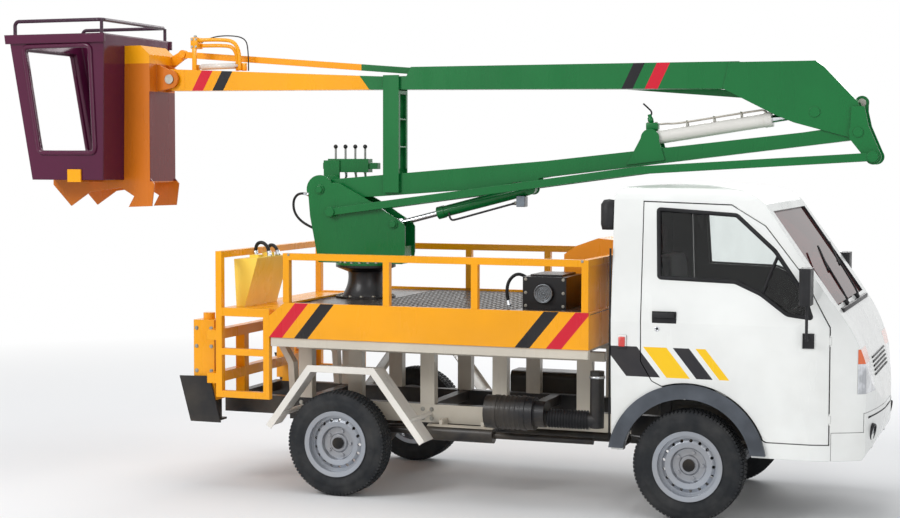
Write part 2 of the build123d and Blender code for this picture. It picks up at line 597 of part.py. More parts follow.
# Lower boom: a hollow box that tapers to the knuckle, with its pins and brackets
BOOM_TOP = [(-400, 1855), (-310, 1862), (1089, 1980), (2603, 2145), (2890, 2186)]
BOOM_UNDER = [(2880, 2100), (1107, 1885), (647, 1807), (-20, 1756), (-380, 1742)]
HOLLOW = [(-280, 1856), (1089, 1972), (2600, 2137), (2820, 2165), (2820, 2100), (1107, 1893), (647, 1815),
          (-20, 1764), (-280, 1755)]
with BuildPart() as lower_boom:
    slab(BOOM_TOP + BOOM_UNDER, (-LOWER_HALF, LOWER_HALF))
    across(BOOM_PIN, (-LOWER_HALF, LOWER_HALF), 60)
    across(KNUCKLE_PIN, (-LOWER_HALF, LOWER_HALF), 48)
    inside = LOWER_HALF - SKIN
    slab(HOLLOW, (-inside, inside), Mode.SUBTRACT)
    # bracket of the upper cylinder, lugs of the lift cylinder
    slab_pair([(1584, 1957), (1814, 1985), (1765, 2140), (1681, 2140)], (LOWER_HALF, LOWER_HALF + GUSSET_T))
    across_pair(LUFF_BASE, (LOWER_HALF, LOWER_HALF + GUSSET_T), 55)
    across(LUFF_BASE, (-LOWER_HALF - GUSSET_T, LOWER_HALF + GUSSET_T), SMALL_PIN_R)
    slab_pair([(930, 1858), (1045, 1878), (1015, 1795), (955, 1795)], (LIFT_R + 5, LOWER_HALF))
    across_pair(LIFT_BASE, (LIFT_R + 5, LOWER_HALF), 36)
    across(LIFT_BASE, (-LOWER_HALF, LOWER_HALF), SMALL_PIN_R)
    # hinge tube, knuckle bosses and knuckle pin
    across(BOOM_PIN, (-PLATE_IN + SEAT_GAP, PLATE_IN - SEAT_GAP), 44)
    across(BOOM_PIN, (-PLATE_IN, PLATE_IN), PIN_R + RUN_FIT, Mode.SUBTRACT)
    across(KNUCKLE_PIN, (-UPPER_HALF + SEAT_GAP, UPPER_HALF - SEAT_GAP), 44)
    across(KNUCKLE_PIN, (-PLATE_OUT - 8, PLATE_OUT + 8), PIN_R)
    across_pair(KNUCKLE_PIN, (PLATE_OUT + SEAT_GAP, PLATE_OUT + 8), PIN_R + 8)
finish_part(lower_boom, "lower_boom")

# Boom rest: a fork on the lower boom that the upper boom lies in
FORK_IN = 66.0
FORK_T = 10.0
UPPER_UNDER = 2417.0
FORK_TOP = 2505.0
with BuildPart() as boom_rest:
    both(REST_X, (FORK_IN, FORK_IN + FORK_T), (1782, FORK_TOP))
    both((REST_X[0], REST_X[0] + 10), (FORK_IN - 16, FORK_IN + FORK_T), (1930, UPPER_UNDER - MOVE_GAP))
    both((REST_X[1] - 10, REST_X[1]), (FORK_IN - 16, FORK_IN + FORK_T), (1930, UPPER_UNDER - MOVE_GAP))
    both(REST_X, (LOWER_HALF, FORK_IN), (1790, 1850))
    brick(REST_X, (-FORK_IN, FORK_IN), (UPPER_UNDER - MOVE_GAP - 22, UPPER_UNDER - MOVE_GAP))
    for batten in (2060.0, 2230.0):
        brick(REST_X, (-FORK_IN, FORK_IN), (batten, batten + 8))
finish_part(boom_rest, "boom_rest")

# Lower links: a bent pair beside the lower boom that keeps the level lever upright
LEVER_PIN = shifted(KNUCKLE_PIN, LOWER_LEVER)
with BuildPart() as lower_links:
    slab_pair(strip([LINK_PIN, LINK_BEND, LEVER_PIN], LINK_H), (LINK_IN, LINK_OUT))
    for pin in (LINK_PIN, LEVER_PIN):
        across_pair(pin, (LINK_IN, LINK_OUT), PIN_R + 14)
        across_pair(pin, (LINK_IN, LINK_OUT), PIN_R + RUN_FIT, Mode.SUBTRACT)
finish_part(lower_links, "lower_links")

# Level lever: two plates on the knuckle pin that carry the links' pins
TOP_PIN = shifted(KNUCKLE_PIN, (0, UPPER_LEVER))
GUSSET_OUT = UPPER_HALF + GUSSET_T
with BuildPart() as level_lever:
    near = (-PLATE_OUT, -PLATE_IN)
    far = (PLATE_IN, PLATE_OUT)
    for ys in (near, far):
        slab([(2880, 2290), (2950, 2290), (2975, 2180), (3045, 2020), (2965, 1990), (2870, 2110)], ys)
        across(KNUCKLE_PIN, ys, 52)
        across(LEVER_PIN, ys, 44)
    across(TOP_PIN, far, 40)
    slab([(2880, 2240), (2956, 2240), (2956, TOP_PIN[1]), (2880, TOP_PIN[1])], far)
    across_pair(KNUCKLE_PIN, (GUSSET_OUT + SEAT_GAP, PLATE_IN), 36)
    across(LEVER_PIN, (-LINK_OUT - 9, LINK_OUT + 9), PIN_R)
    across_pair(LEVER_PIN, (PLATE_OUT, LINK_IN - SEAT_GAP), PIN_R + 14)
    across_pair(LEVER_PIN, (LINK_OUT + SEAT_GAP, LINK_OUT + 9), PIN_R + 10)
    across_pair(KNUCKLE_PIN, (GUSSET_OUT - 1, PLATE_OUT + 1), PIN_R + RUN_FIT, Mode.SUBTRACT)
    across(TOP_PIN, (PLATE_IN - 1, PLATE_OUT + 1), SMALL_PIN_R + RUN_FIT, Mode.SUBTRACT)
finish_part(level_lever, "level_lever")

# Upper boom: the green root box with its knuckle gussets
SPLIT_LOW = (-53, 2418)
SPLIT_HIGH = (-119, 2505)
with BuildPart() as upper_boom:
    slab([SPLIT_LOW, (2181, 2398), (2240, 2554), (222, 2554), (190, 2492), SPLIT_HIGH],
         (-UPPER_HALF, UPPER_HALF))
    inside = UPPER_HALF - SKIN
    slab([(0, 2424), (2150, 2405), (2180, 2470), (2180, 2547), (240, 2547), (205, 2484), (0, 2492)],
         (-inside, inside), Mode.SUBTRACT)
    slab_pair([(2181, 2547), (2673, 2550), (2724, 2513), (2912, 2314), (2968, 2165), (2872, 2115),
               (2558, 2201), (2449, 2246), (2150, 2398)], (UPPER_HALF, GUSSET_OUT))
    across_pair(KNUCKLE_PIN, (UPPER_HALF, GUSSET_OUT), 58)
    slab([(2230, 2540), (2673, 2540), (2673, 2550), (2230, 2550)], (-UPPER_HALF, UPPER_HALF))
    slab([(2724, 2501), (2900, 2314), (2912, 2314), (2724, 2513), (2673, 2550), (2673, 2540)],
         (-UPPER_HALF, UPPER_HALF))
    across_pair(KNUCKLE_PIN, (UPPER_HALF - 1, GUSSET_OUT + 1), PIN_R + RUN_FIT, Mode.SUBTRACT)
    across_pair(LUFF_EYE, (GUSSET_OUT, GUSSET_OUT + 5), 30)
finish_part(upper_boom, "upper_boom")

# Outer part of the upper boom, which ends at the bucket's hinge
with BuildPart() as boom_tip:
    slab([SPLIT_LOW, SPLIT_HIGH, (-1380, 2563), (-1430, 2565), (-1440, 2426)], (-UPPER_HALF, UPPER_HALF))
    inside = UPPER_HALF - SKIN
    slab([(-100, 2426), (-130, 2497), (-1300, 2552), (-1300, 2434)], (-inside, inside), Mode.SUBTRACT)
    across(TIP_PIN, (-TIP_HALF, TIP_HALF), 66)
    both((-1520, -1340), (TIP_HALF, UPPER_HALF + 1), (2400, 2600), Mode.SUBTRACT)
    across(TIP_PIN, (-TIP_HALF - 1, TIP_HALF + 1), PIN_R + RUN_FIT, Mode.SUBTRACT)
finish_part(boom_tip, "boom_tip")

# Cylinders: barrel with its eye, rod with its eye and pin
# name, base pin, eye pin, barrel radius, rod radius, barrel length, rod pin half, base eye half
RAMS = (
    ("lift", LIFT_BASE, LIFT_EYE, LIFT_R, LIFT_ROD_R, LIFT_BARREL_L, PLATE_IN - 1, LIFT_R + 5 - SEAT_GAP),
    ("luff", LUFF_BASE, LUFF_EYE, LUFF_R, LUFF_ROD_R, LUFF_BARREL_L, UPPER_HALF - 1, LOWER_HALF - SEAT_GAP),
)
TAIL = 60.0
for ram_name, base, eye, barrel_r, rod_r, barrel_l, pin_half, eye_half in RAMS:
    with BuildPart() as barrel:
        ram(base, eye, TAIL - 36, barrel_l, barrel_r)
        ram(base, eye, barrel_l - 45, barrel_l, barrel_r + 4)
        across(base, (-eye_half, eye_half), SMALL_PIN_R + 14)
        ram(base, eye, TAIL - 10, barrel_l - 12, barrel_r - 8, mode=Mode.SUBTRACT)
        ram(base, eye, barrel_l - 13, barrel_l + 1, rod_r + RUN_FIT, mode=Mode.SUBTRACT)
        across(base, (-eye_half - 1, eye_half + 1), SMALL_PIN_R + RUN_FIT, Mode.SUBTRACT)
    finish_part(barrel, f"{ram_name}_barrel")
    span = hypot(eye[0] - base[0], eye[1] - base[1])
    with BuildPart() as rod:
        ram(base, eye, TAIL + 10, span - 10, rod_r)
        ram(base, eye, TAIL + 10, TAIL + 34, barrel_r - 8 - RUN_FIT * 4)
        across(eye, (-24, 24), SMALL_PIN_R + 16)
        across(eye, (-pin_half, pin_half), SMALL_PIN_R)
    finish_part(rod, f"{ram_name}_rod")

# Pin that joins the level lever and the upper link
TOP_LINK_IN = LINK_IN
TOP_LINK_OUT = TOP_LINK_IN + TOP_LINK_W
with BuildPart() as link_pin:
    across(TOP_PIN, (PLATE_IN - 6, TOP_LINK_OUT + 8), SMALL_PIN_R)
    across(TOP_PIN, (PLATE_IN - 6, PLATE_IN - SEAT_GAP), SMALL_PIN_R + 8)
    across(TOP_PIN, (TOP_LINK_OUT + SEAT_GAP, TOP_LINK_OUT + 8), SMALL_PIN_R + 8)
    across(TOP_PIN, (PLATE_OUT + SEAT_GAP, TOP_LINK_IN - SEAT_GAP), SMALL_PIN_R + 8)
finish_part(link_pin, "link_pin")

# Upper link, which holds the bucket level
TOP_TIP = shifted(TIP_PIN, (0, UPPER_LEVER))
with BuildPart() as upper_link:
    ys = (TOP_LINK_IN, TOP_LINK_OUT)
    slab(strip([TOP_PIN, TOP_TIP], TOP_LINK_H), ys)
    for pin, fit in ((TOP_PIN, RUN_FIT), (TOP_TIP, 0.4)):
        across(pin, ys, SMALL_PIN_R + 14)
        across(pin, ys, SMALL_PIN_R + fit, Mode.SUBTRACT)
finish_part(upper_link, "upper_link")

# Pin that joins the boom's end and the bucket's column
EAR_IN = TIP_HALF + MOVE_GAP
EAR_OUT = EAR_IN + 20
with BuildPart() as bucket_pin:
    across(TIP_PIN, (-EAR_OUT - 9, EAR_OUT + 9), PIN_R)
    across_pair(TIP_PIN, (EAR_OUT + SEAT_GAP, EAR_OUT + 9), PIN_R + 10)
    across_pair(TIP_PIN, (TIP_HALF + SEAT_GAP, EAR_IN - SEAT_GAP), PIN_R + 10)
finish_part(bucket_pin, "bucket_pin")

# Bucket: a tapered tub with open sides above its sill, a heavy rim and a hand rail
BUCKET_SIDE = [(-2251, BUCKET_LOW), (-1730, BUCKET_LOW), (-1715, BUCKET_HIGH), (-2418, BUCKET_HIGH)]
with BuildPart() as bucket:
    slab(BUCKET_SIDE, (-BUCKET_HALF, BUCKET_HALF))
    wall = BUCKET_WALL
    hollow = [(-2251 + wall, BUCKET_LOW + wall), (-1730 - wall, BUCKET_LOW + wall),
              (-1715 - wall, BUCKET_HIGH + 1), (-2418 + wall, BUCKET_HIGH + 1)]
    slab(hollow, (-BUCKET_HALF + wall, BUCKET_HALF - wall), Mode.SUBTRACT)
    window = [(-2190, SILL_Z), (-1790, SILL_Z), (-1822, 2701), (-2300, 2696)]
    slab(window, (-BUCKET_HALF - 1, BUCKET_HALF + 1), Mode.SUBTRACT, 30.0)
    brick((-2500, -2150), (-300, 300), (SILL_Z, 2696), Mode.SUBTRACT)
    lip = [(-2432, 2722), (-1704, 2722), (-1704, BUCKET_HIGH), (-2440, BUCKET_HIGH)]
    slab(lip, (BUCKET_HALF, BUCKET_HALF + 18))
    slab(lip, (-BUCKET_HALF, -BUCKET_HALF - 18))
    # hand rail over three sides, on four posts
    rail_y = BUCKET_HALF - BUCKET_WALL / 2
    rail_rear, rail_front = AXLE_X - 2380, AXLE_X - 1740
    for post_y in (-rail_y, rail_y):
        with Locations((rail_front, post_y, (BUCKET_HIGH + HANDRAIL_Z) / 2 - 4)):
            Cylinder(HANDRAIL_R - 1, HANDRAIL_Z - BUCKET_HIGH)
    with BuildLine() as rail_path:
        FilletPolyline((rail_rear, -rail_y, BUCKET_HIGH - 10), (rail_rear, -rail_y, HANDRAIL_Z),
                       (rail_front, -rail_y, HANDRAIL_Z), (rail_front, rail_y, HANDRAIL_Z),
                       (rail_rear, rail_y, HANDRAIL_Z), (rail_rear, rail_y, BUCKET_HIGH - 10), radius=30)
    with BuildSketch(Plane(origin=(rail_rear, -rail_y, BUCKET_HIGH - 10), z_dir=(0, 0, 1))) as rail_section:
        Circle(HANDRAIL_R)
    sweep(rail_section.sketch, path=rail_path.line)
finish_part(bucket, "bucket")

# Bucket column: the frame behind and below the bucket that hangs on the boom's end
TRAY_TOP = BUCKET_LOW - SEAT_GAP
with BuildPart() as bucket_column:
    slab([(-1715.6, 2715), (-1729.6, BUCKET_LOW - 13), (COLUMN_FRONT, 1834), (COLUMN_FRONT, 2658),
          (-1600, 2715)], (-COLUMN_HALF, COLUMN_HALF))
    inside = COLUMN_HALF - COLUMN_WALL
    plate_back = COLUMN_FRONT - COLUMN_WALL
    slab([(-1706, 2700), (-1720, 1850), (plate_back, 1850), (plate_back, 2650), (-1605, 2700)],
         (-inside, inside), Mode.SUBTRACT)
    brick((-2260, -1700), (-COLUMN_HALF, COLUMN_HALF), (TRAY_TOP - 13, TRAY_TOP))
    slab_pair([(-2260, TRAY_TOP), (-2260, 1815), (-2126, 1677), (-1980, 1771), (-1750, 1800), (-1655, 1745),
               (-1696, 1675), (COLUMN_FRONT + 10, 1682), (COLUMN_FRONT + 30, 1826), (COLUMN_FRONT, 1860),
               (-1725, 1845)], (COLUMN_HALF - COLUMN_WALL, COLUMN_HALF))
    brick((-1984, -1886), (-BUCKET_HALF - 12, BUCKET_HALF + 12), (TRAY_TOP - 13, TRAY_TOP))
    both((-1984, -1886), (BUCKET_HALF + SEAT_GAP, BUCKET_HALF + 12), (TRAY_TOP - 13, 1919))
    # hinge ears for the boom's end and the upper link
    slab_pair([(COLUMN_FRONT - 1, 2420), (-1440, 2440), (-1440, 2560), (COLUMN_FRONT - 1, 2600)],
              (EAR_IN, EAR_OUT))
    across_pair(TIP_PIN, (EAR_IN, EAR_OUT), 60)
    across_pair(TIP_PIN, (EAR_IN - 1, EAR_OUT + 1), PIN_R + RUN_FIT, Mode.SUBTRACT)
    link_ear = (TOP_LINK_OUT + 4, TOP_LINK_OUT + 16)
    slab([(COLUMN_FRONT - 1, 2570), (COLUMN_FRONT - 1, 2655), (-1455, 2696), (-1412, 2668),
          (-1440, 2636)], link_ear)
    across(TOP_TIP, link_ear, 30)
    across(TOP_TIP, (TOP_LINK_IN - 8, link_ear[1]), SMALL_PIN_R)
    across(TOP_TIP, (TOP_LINK_IN - 8, TOP_LINK_IN - SEAT_GAP), SMALL_PIN_R + 7)
finish_part(bucket_column, "bucket_column")


def cab_block(inset):
    """The cab's outer form moved inward by an inset: side, front and plan outlines in common."""
    with BuildPart() as block:
        with BuildSketch(Plane.XZ.offset(-CAB_HALF - 50)) as side_view:
            with BuildLine():
                Polyline(*ahead([(3024, CAB_LOW), (1680, CAB_LOW), (CAB_REAR, 1790), (1717, 1838)]))
                ThreePointArc(*ahead([(1717, 1838), (2037, CAB_TOP), (2352, 1822)]))
                ThreePointArc(*ahead([(2352, 1822), (2435, 1799), (2505, 1750)]))
                Line(*ahead([(2505, 1750), (2903, 1185)]))
                ThreePointArc(*ahead([(2903, 1185), (3002, 1010), (3060, 790)]))
                Line(*ahead([(3060, 790), (3085, 700)]))
                ThreePointArc(*ahead([(3085, 700), (3097, 600), (3060, 440)]))
                Line(*ahead([(3060, 440), (3024, CAB_LOW)]))
            make_face()
            if inset:
                offset(amount=-inset, kind=Kind.INTERSECTION)
        extrude(side_view.sketch, amount=2 * CAB_HALF + 100, dir=(0, -1, 0))
        with BuildSketch(Plane.YZ.offset(AXLE_X + CAB_REAR - 50)) as front_view:
            with BuildLine():
                Polyline((735, 300), (CAB_HALF, 800), (CAB_HALF, 1100), (664, 1770))
                ThreePointArc((664, 1770), (640, 1812), (590, 1834))
                ThreePointArc((590, 1834), (0, CAB_TOP + 6), (-590, 1834))
                ThreePointArc((-590, 1834), (-640, 1812), (-664, 1770))
                Polyline((-664, 1770), (-CAB_HALF, 1100), (-CAB_HALF, 800), (-735, 300), (735, 300))
            make_face()
            if inset:
                offset(amount=-inset, kind=Kind.INTERSECTION)
        extrude(front_view.sketch, amount=1600, dir=(1, 0, 0), mode=Mode.INTERSECT)
        with BuildSketch(Plane.XY.offset(200)) as plan_view:
            rear, straight = AXLE_X + CAB_REAR - 200, AXLE_X + 2600
            corner, nose = AXLE_X + 3040, AXLE_X + 3100
            with BuildLine():
                Polyline((straight, -CAB_HALF), (rear, -CAB_HALF), (rear, CAB_HALF), (straight, CAB_HALF))
                ThreePointArc((straight, CAB_HALF), (AXLE_X + 2880, 705), (corner, 610))
                ThreePointArc((corner, 610), (nose, 0), (corner, -610))
                ThreePointArc((corner, -610), (AXLE_X + 2880, -705), (straight, -CAB_HALF))
            make_face()
            if inset:
                offset(amount=-inset, kind=Kind.INTERSECTION)
        extrude(plan_view.sketch, amount=1800, mode=Mode.INTERSECT)
    return block.part


cab_outer = cab_block(0.0)
cab_inner = cab_block(CAB_WALL)
glass_outer = cab_block(GLASS_IN)
glass_inner = cab_block(GLASS_IN + GLASS_T)

DOOR = [(1838, 1757), (1846, 885), (1908, 780), (2536, 476), (2858, 476), (2857, 1100), (2755, 1300),
        (2700, 1391), (2505, 1633), (2320, 1742)]
DOOR_HOLE = [(1833, 1763), (1841, 883), (1904, 777), (2531, 471), (2864, 471), (2863, 1102), (2760, 1302),
             (2704, 1394), (2509, 1637), (2322, 1748)]
WINDOW = [(1919, 1718), (1936, 1345), (2354, 1332), (2494, 1270), (2636, 1166), (2765, 1150), (2722, 1278),
          (2562, 1502), (2350, 1690)]
SCREEN = ((2532, 1712), (2884, 1212))
SCREEN_HALF = 585.0
REAR_WINDOW = (480.0, 1250.0, 1600.0)
DOOR_IN = 590.0
HINGE_X = 2862.0
HINGE_Y = 708.0
HINGE_PIN_R = 4.0
HINGE_EYE_R = 7.0
HINGE_ZS = (590.0, 1010.0)
HINGE_H = 40.0
LAMP_X = 2940.0
LAMP_Y = (420.0, 640.0)
LAMP_Z = (745.0, 983.0)
LAMP_DEEP = 25.0
BUMPER_X = 2872.0
BUMPER_TOP = 640.0
OUTSIDE = CAB_HALF + 60


def band(start, end, half):
    """A rectangle along a line of the side view, with half its width on each side."""
    size = hypot(end[0] - start[0], end[1] - start[1])
    nx, nz = -(end[1] - start[1]) / size * half, (end[0] - start[0]) / size * half
    return [(start[0] + nx, start[1] + nz), (end[0] + nx, end[1] + nz), (end[0] - nx, end[1] - nz),
            (start[0] - nx, start[1] - nz)]


# Headlamps, flush with the nose
lamp_inner = cab_block(LAMP_DEEP)
with BuildPart() as headlamps:
    add(cab_outer)
    add(lamp_inner, mode=Mode.SUBTRACT)
    with BuildPart(mode=Mode.PRIVATE) as lamp_zone:
        both((LAMP_X, FRONT_REACH + 20), LAMP_Y, LAMP_Z)
    add(lamp_zone.part, mode=Mode.INTERSECT)
finish_part(headlamps, "headlamps")

# Cab shell: walls, floor, footwell, arches and openings
with BuildPart() as cab_shell:
    add(cab_outer)
    add(cab_inner, mode=Mode.SUBTRACT)
    floor_low = CAB_FLOOR - CAB_FLOOR_T
    brick((CAB_REAR + 10, FOOTWELL_X), (-CAB_HALF + 15, CAB_HALF - 15), (floor_low, CAB_FLOOR))
    brick((FOOTWELL_X - 30, FOOTWELL_X), (-CAB_HALF + 15, CAB_HALF - 15), (FOOTWELL_TOP - 30, CAB_FLOOR))
    brick((FOOTWELL_X - 30, 3050), (-CAB_HALF + 15, CAB_HALF - 15), (FOOTWELL_TOP - 30, FOOTWELL_TOP))
    add(cab_outer, mode=Mode.INTERSECT)
    brick((CAB_REAR + 60, 3000), (-CAB_HALF + 60, CAB_HALF - 60), (CAB_LOW - 20, CAB_LOW + 80),
          Mode.SUBTRACT)
    brick((CAB_REAR - 20, CAB_REAR + 90), (-470, 470), (CAB_LOW - 20, 620), Mode.SUBTRACT)
    across_pair((WHEELBASE, ARCH_Z), (KINGPIN_Y - 200, OUTSIDE), ARCH_R, Mode.SUBTRACT)
    slab_pair(DOOR_HOLE, (DOOR_IN, OUTSIDE), Mode.SUBTRACT)
    slab(band(*SCREEN, 90), (-SCREEN_HALF, SCREEN_HALF), Mode.SUBTRACT)
    brick((CAB_REAR - 20, CAB_REAR + 90), (-REAR_WINDOW[0], REAR_WINDOW[0]), REAR_WINDOW[1:], Mode.SUBTRACT)
    both((LAMP_X, FRONT_REACH + 20), LAMP_Y, LAMP_Z, Mode.SUBTRACT)
    brick((BUMPER_X - 2, FRONT_REACH + 20), (-OUTSIDE, OUTSIDE), (CAB_LOW - 20, FOOTWELL_TOP - 30),
          Mode.SUBTRACT)
    brick((3030, FRONT_REACH + 20), (-OUTSIDE, OUTSIDE), (CAB_LOW - 20, BUMPER_TOP + 2), Mode.SUBTRACT)
    for side in (-1, 1):
        for hinge_z in HINGE_ZS:
            hinge_span = (hinge_z - SEAT_GAP, hinge_z + HINGE_H + SEAT_GAP)
            upright((HINGE_X, side * HINGE_Y), hinge_span, HINGE_EYE_R + SEAT_GAP, Mode.SUBTRACT)
            upright((HINGE_X, side * HINGE_Y), (hinge_z - 10, hinge_z + HINGE_H + 10), HINGE_PIN_R)
finish_part(cab_shell, "cab_shell")

# Front bumper, a shell of its own below the nose
with BuildPart() as front_bumper:
    add(cab_outer)
    add(cab_inner, mode=Mode.SUBTRACT)
    with BuildPart(mode=Mode.PRIVATE) as bumper_zone:
        brick((BUMPER_X, FRONT_REACH + 20), (-OUTSIDE, OUTSIDE), (CAB_LOW - 20, FOOTWELL_TOP - 32))
        brick((3032, FRONT_REACH + 20), (-OUTSIDE, OUTSIDE), (CAB_LOW - 20, BUMPER_TOP))
    add(bumper_zone.part, mode=Mode.INTERSECT)
    brick((BUMPER_X - 1, RAIL_FRONT), (-CAB_HALF + 120, CAB_HALF - 120), (CAB_LOW - 20, CAB_LOW + 80),
          Mode.SUBTRACT)
    both((RAIL_FRONT, 3050), rail_sides, (RAIL_TOP - RAIL_H, RAIL_TOP - 30))
finish_part(front_bumper, "front_bumper")

# Windscreen and rear window
with BuildPart() as cab_glass:
    add(glass_outer)
    add(glass_inner, mode=Mode.SUBTRACT)
    with BuildPart(mode=Mode.PRIVATE) as glass_zone:
        slab(band(*SCREEN, 90), (-SCREEN_HALF + SEAT_GAP, SCREEN_HALF - SEAT_GAP))
        half = REAR_WINDOW[0] - SEAT_GAP
        brick((CAB_REAR - 20, CAB_REAR + 90), (-half, half),
              (REAR_WINDOW[1] + SEAT_GAP, REAR_WINDOW[2] - SEAT_GAP))
    add(glass_zone.part, mode=Mode.INTERSECT)
finish_part(cab_glass, "cab_glass")

# Doors, their windows and the mirrors on them
MIRROR_X = 2751.0
mirror_foot = cab_block(-8.0)
for name, side in (("right", -1), ("left", 1)):
    ys = (side * DOOR_IN, side * OUTSIDE)
    with BuildPart() as door:
        add(cab_outer)
        add(cab_inner, mode=Mode.SUBTRACT)
        slab(DOOR, ys, Mode.INTERSECT)
        across((WHEELBASE, ARCH_Z), ys, FLARE_R + 7, Mode.SUBTRACT)
        slab(WINDOW, ys, Mode.SUBTRACT)
        for hinge_z in HINGE_ZS:
            upright((HINGE_X, side * HINGE_Y), (hinge_z, hinge_z + HINGE_H), HINGE_EYE_R)
            upright((HINGE_X, side * HINGE_Y), (hinge_z - 12, hinge_z + HINGE_H + 12), HINGE_PIN_R + RUN_FIT,
                    Mode.SUBTRACT)
    finish_part(door, f"door_{name}")
    with BuildPart() as window_glass:
        add(glass_outer)
        add(glass_inner, mode=Mode.SUBTRACT)
        slab(WINDOW, ys, Mode.INTERSECT)
    finish_part(window_glass, f"door_glass_{name}")
    with BuildPart() as mirror:
        add(mirror_foot)
        add(cab_outer, mode=Mode.SUBTRACT)
        brick((MIRROR_X - 30, MIRROR_X + 30), ys, (990, 1070), Mode.INTERSECT)
        across((MIRROR_X, 1040), (side * (CAB_HALF - 6), side * 830), 8)
        upright((MIRROR_X, side * 822), (1032, 1260), 8)
        with BuildSketch(Plane.XY.offset(1229)) as mirror_section:
            with Locations((AXLE_X + MIRROR_X, side * 850)):
                RectangleRounded(60, 150, 22)
        extrude(mirror_section.sketch, amount=195)
    finish_part(mirror, f"mirror_{name}")

# Arch flares round the front wheels
with BuildPart() as arch_flares:
    across_pair((WHEELBASE, ARCH_Z), (CAB_HALF - 28, CAB_HALF + 12), FLARE_R)
    across_pair((WHEELBASE, ARCH_Z), (CAB_HALF - 40, CAB_HALF + 20), ARCH_R, Mode.SUBTRACT)
    brick((1500, 2700), (-OUTSIDE, OUTSIDE), (-200, ARCH_Z + 70), Mode.SUBTRACT)
    add(cab_outer, mode=Mode.SUBTRACT)
finish_part(arch_flares, "arch_flares")

# Seats: cushion and back for driver and passenger
with BuildPart() as seats:
    both((1830, 2290), (90, 600), (CAB_FLOOR, 900))
    slab_pair([(1760, 860), (1860, 890), (1815, 1440), (1725, 1430)], (90, 600), Mode.ADD, 20.0)
finish_part(seats, "seats")

# Dashboard behind the windscreen, with the steering wheel on its column
DRIVER_Y = -340.0
COLUMN_R = 20.0
steering_plane = Plane(origin=(AXLE_X + 2560, DRIVER_Y, 1120), x_dir=(0, 1, 0), z_dir=(-0.5, 0, 0.866))
dash_room = cab_block(CAB_WALL + SEAT_GAP)
with BuildPart() as dashboard:
    add(dash_room)
    slab([(2660, 1120), (2640, 1000), (2720, 900), (3100, 900), (3100, 1135), (2800, 1140)],
         (-640, 640), Mode.INTERSECT)
    with Locations(Location(steering_plane)):
        Cylinder(COLUMN_R + SEAT_GAP, 700, mode=Mode.SUBTRACT)
finish_part(dashboard, "dashboard")
with BuildPart(steering_plane) as steering_wheel:
    Torus(185, 13)
    Cylinder(45, 24)
    with PolarLocations(95, 3):
        Box(180, 22, 12)
    with Locations((0, 0, -130)):
        Cylinder(COLUMN_R, 250)
finish_part(steering_wheel, "steering_wheel")
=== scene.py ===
from math import cos, hypot, pi, radians, sin

import bmesh
import bpy
from mathutils import Matrix, Vector
from mathutils.bvhtree import BVHTree


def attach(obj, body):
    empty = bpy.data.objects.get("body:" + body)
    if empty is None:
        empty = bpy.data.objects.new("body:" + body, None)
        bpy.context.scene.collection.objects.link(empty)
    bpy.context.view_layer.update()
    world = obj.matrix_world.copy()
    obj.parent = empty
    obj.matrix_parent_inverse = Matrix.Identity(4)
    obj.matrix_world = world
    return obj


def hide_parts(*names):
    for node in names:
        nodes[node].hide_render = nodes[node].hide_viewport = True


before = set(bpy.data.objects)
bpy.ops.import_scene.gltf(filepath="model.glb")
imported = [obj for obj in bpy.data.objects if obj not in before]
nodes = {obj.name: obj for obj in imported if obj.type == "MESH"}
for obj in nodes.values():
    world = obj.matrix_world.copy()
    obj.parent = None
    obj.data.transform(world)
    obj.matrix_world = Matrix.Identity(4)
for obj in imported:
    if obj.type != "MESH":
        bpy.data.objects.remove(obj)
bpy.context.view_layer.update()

# Studio: a pale floor below the truck that turns white in the distance, and a white surround.
# Four large soft lamps: a key on the side that the camera sees, a fill in front, one above, one behind.
scene = bpy.context.scene
scene.view_settings.view_transform = "Standard"
surround = bpy.data.worlds.new("surround")
surround.use_nodes = True
scene.world = surround
sky = surround.node_tree
sky.nodes.clear()
sky_out = sky.nodes.new("ShaderNodeOutputWorld")
sky_pick = sky.nodes.new("ShaderNodeMixShader")
sky_soft = sky.nodes.new("ShaderNodeBackground")
sky_soft.inputs["Color"].default_value = (0.93, 0.96, 1.0, 1)
sky_soft.inputs["Strength"].default_value = 0.5
sky_white = sky.nodes.new("ShaderNodeBackground")
sky_white.inputs["Color"].default_value = (1, 1, 1, 1)
sky_rays = sky.nodes.new("ShaderNodeLightPath")


def seen_rays(made, rays):
    """1 for rays from the camera and for those that a mirror or a pane sends on."""
    seen = rays.outputs["Is Camera Ray"]
    for ray in ("Is Glossy Ray", "Is Transmission Ray"):
        either = made.nodes.new("ShaderNodeMath")
        either.operation = "MAXIMUM"
        made.links.new(seen, either.inputs[0])
        made.links.new(rays.outputs[ray], either.inputs[1])
        seen = either.outputs[0]
    return seen


sky.links.new(seen_rays(sky, sky_rays), sky_pick.inputs[0])
sky.links.new(sky_soft.outputs[0], sky_pick.inputs[1])
sky.links.new(sky_white.outputs[0], sky_pick.inputs[2])
sky.links.new(sky_pick.outputs[0], sky_out.inputs["Surface"])

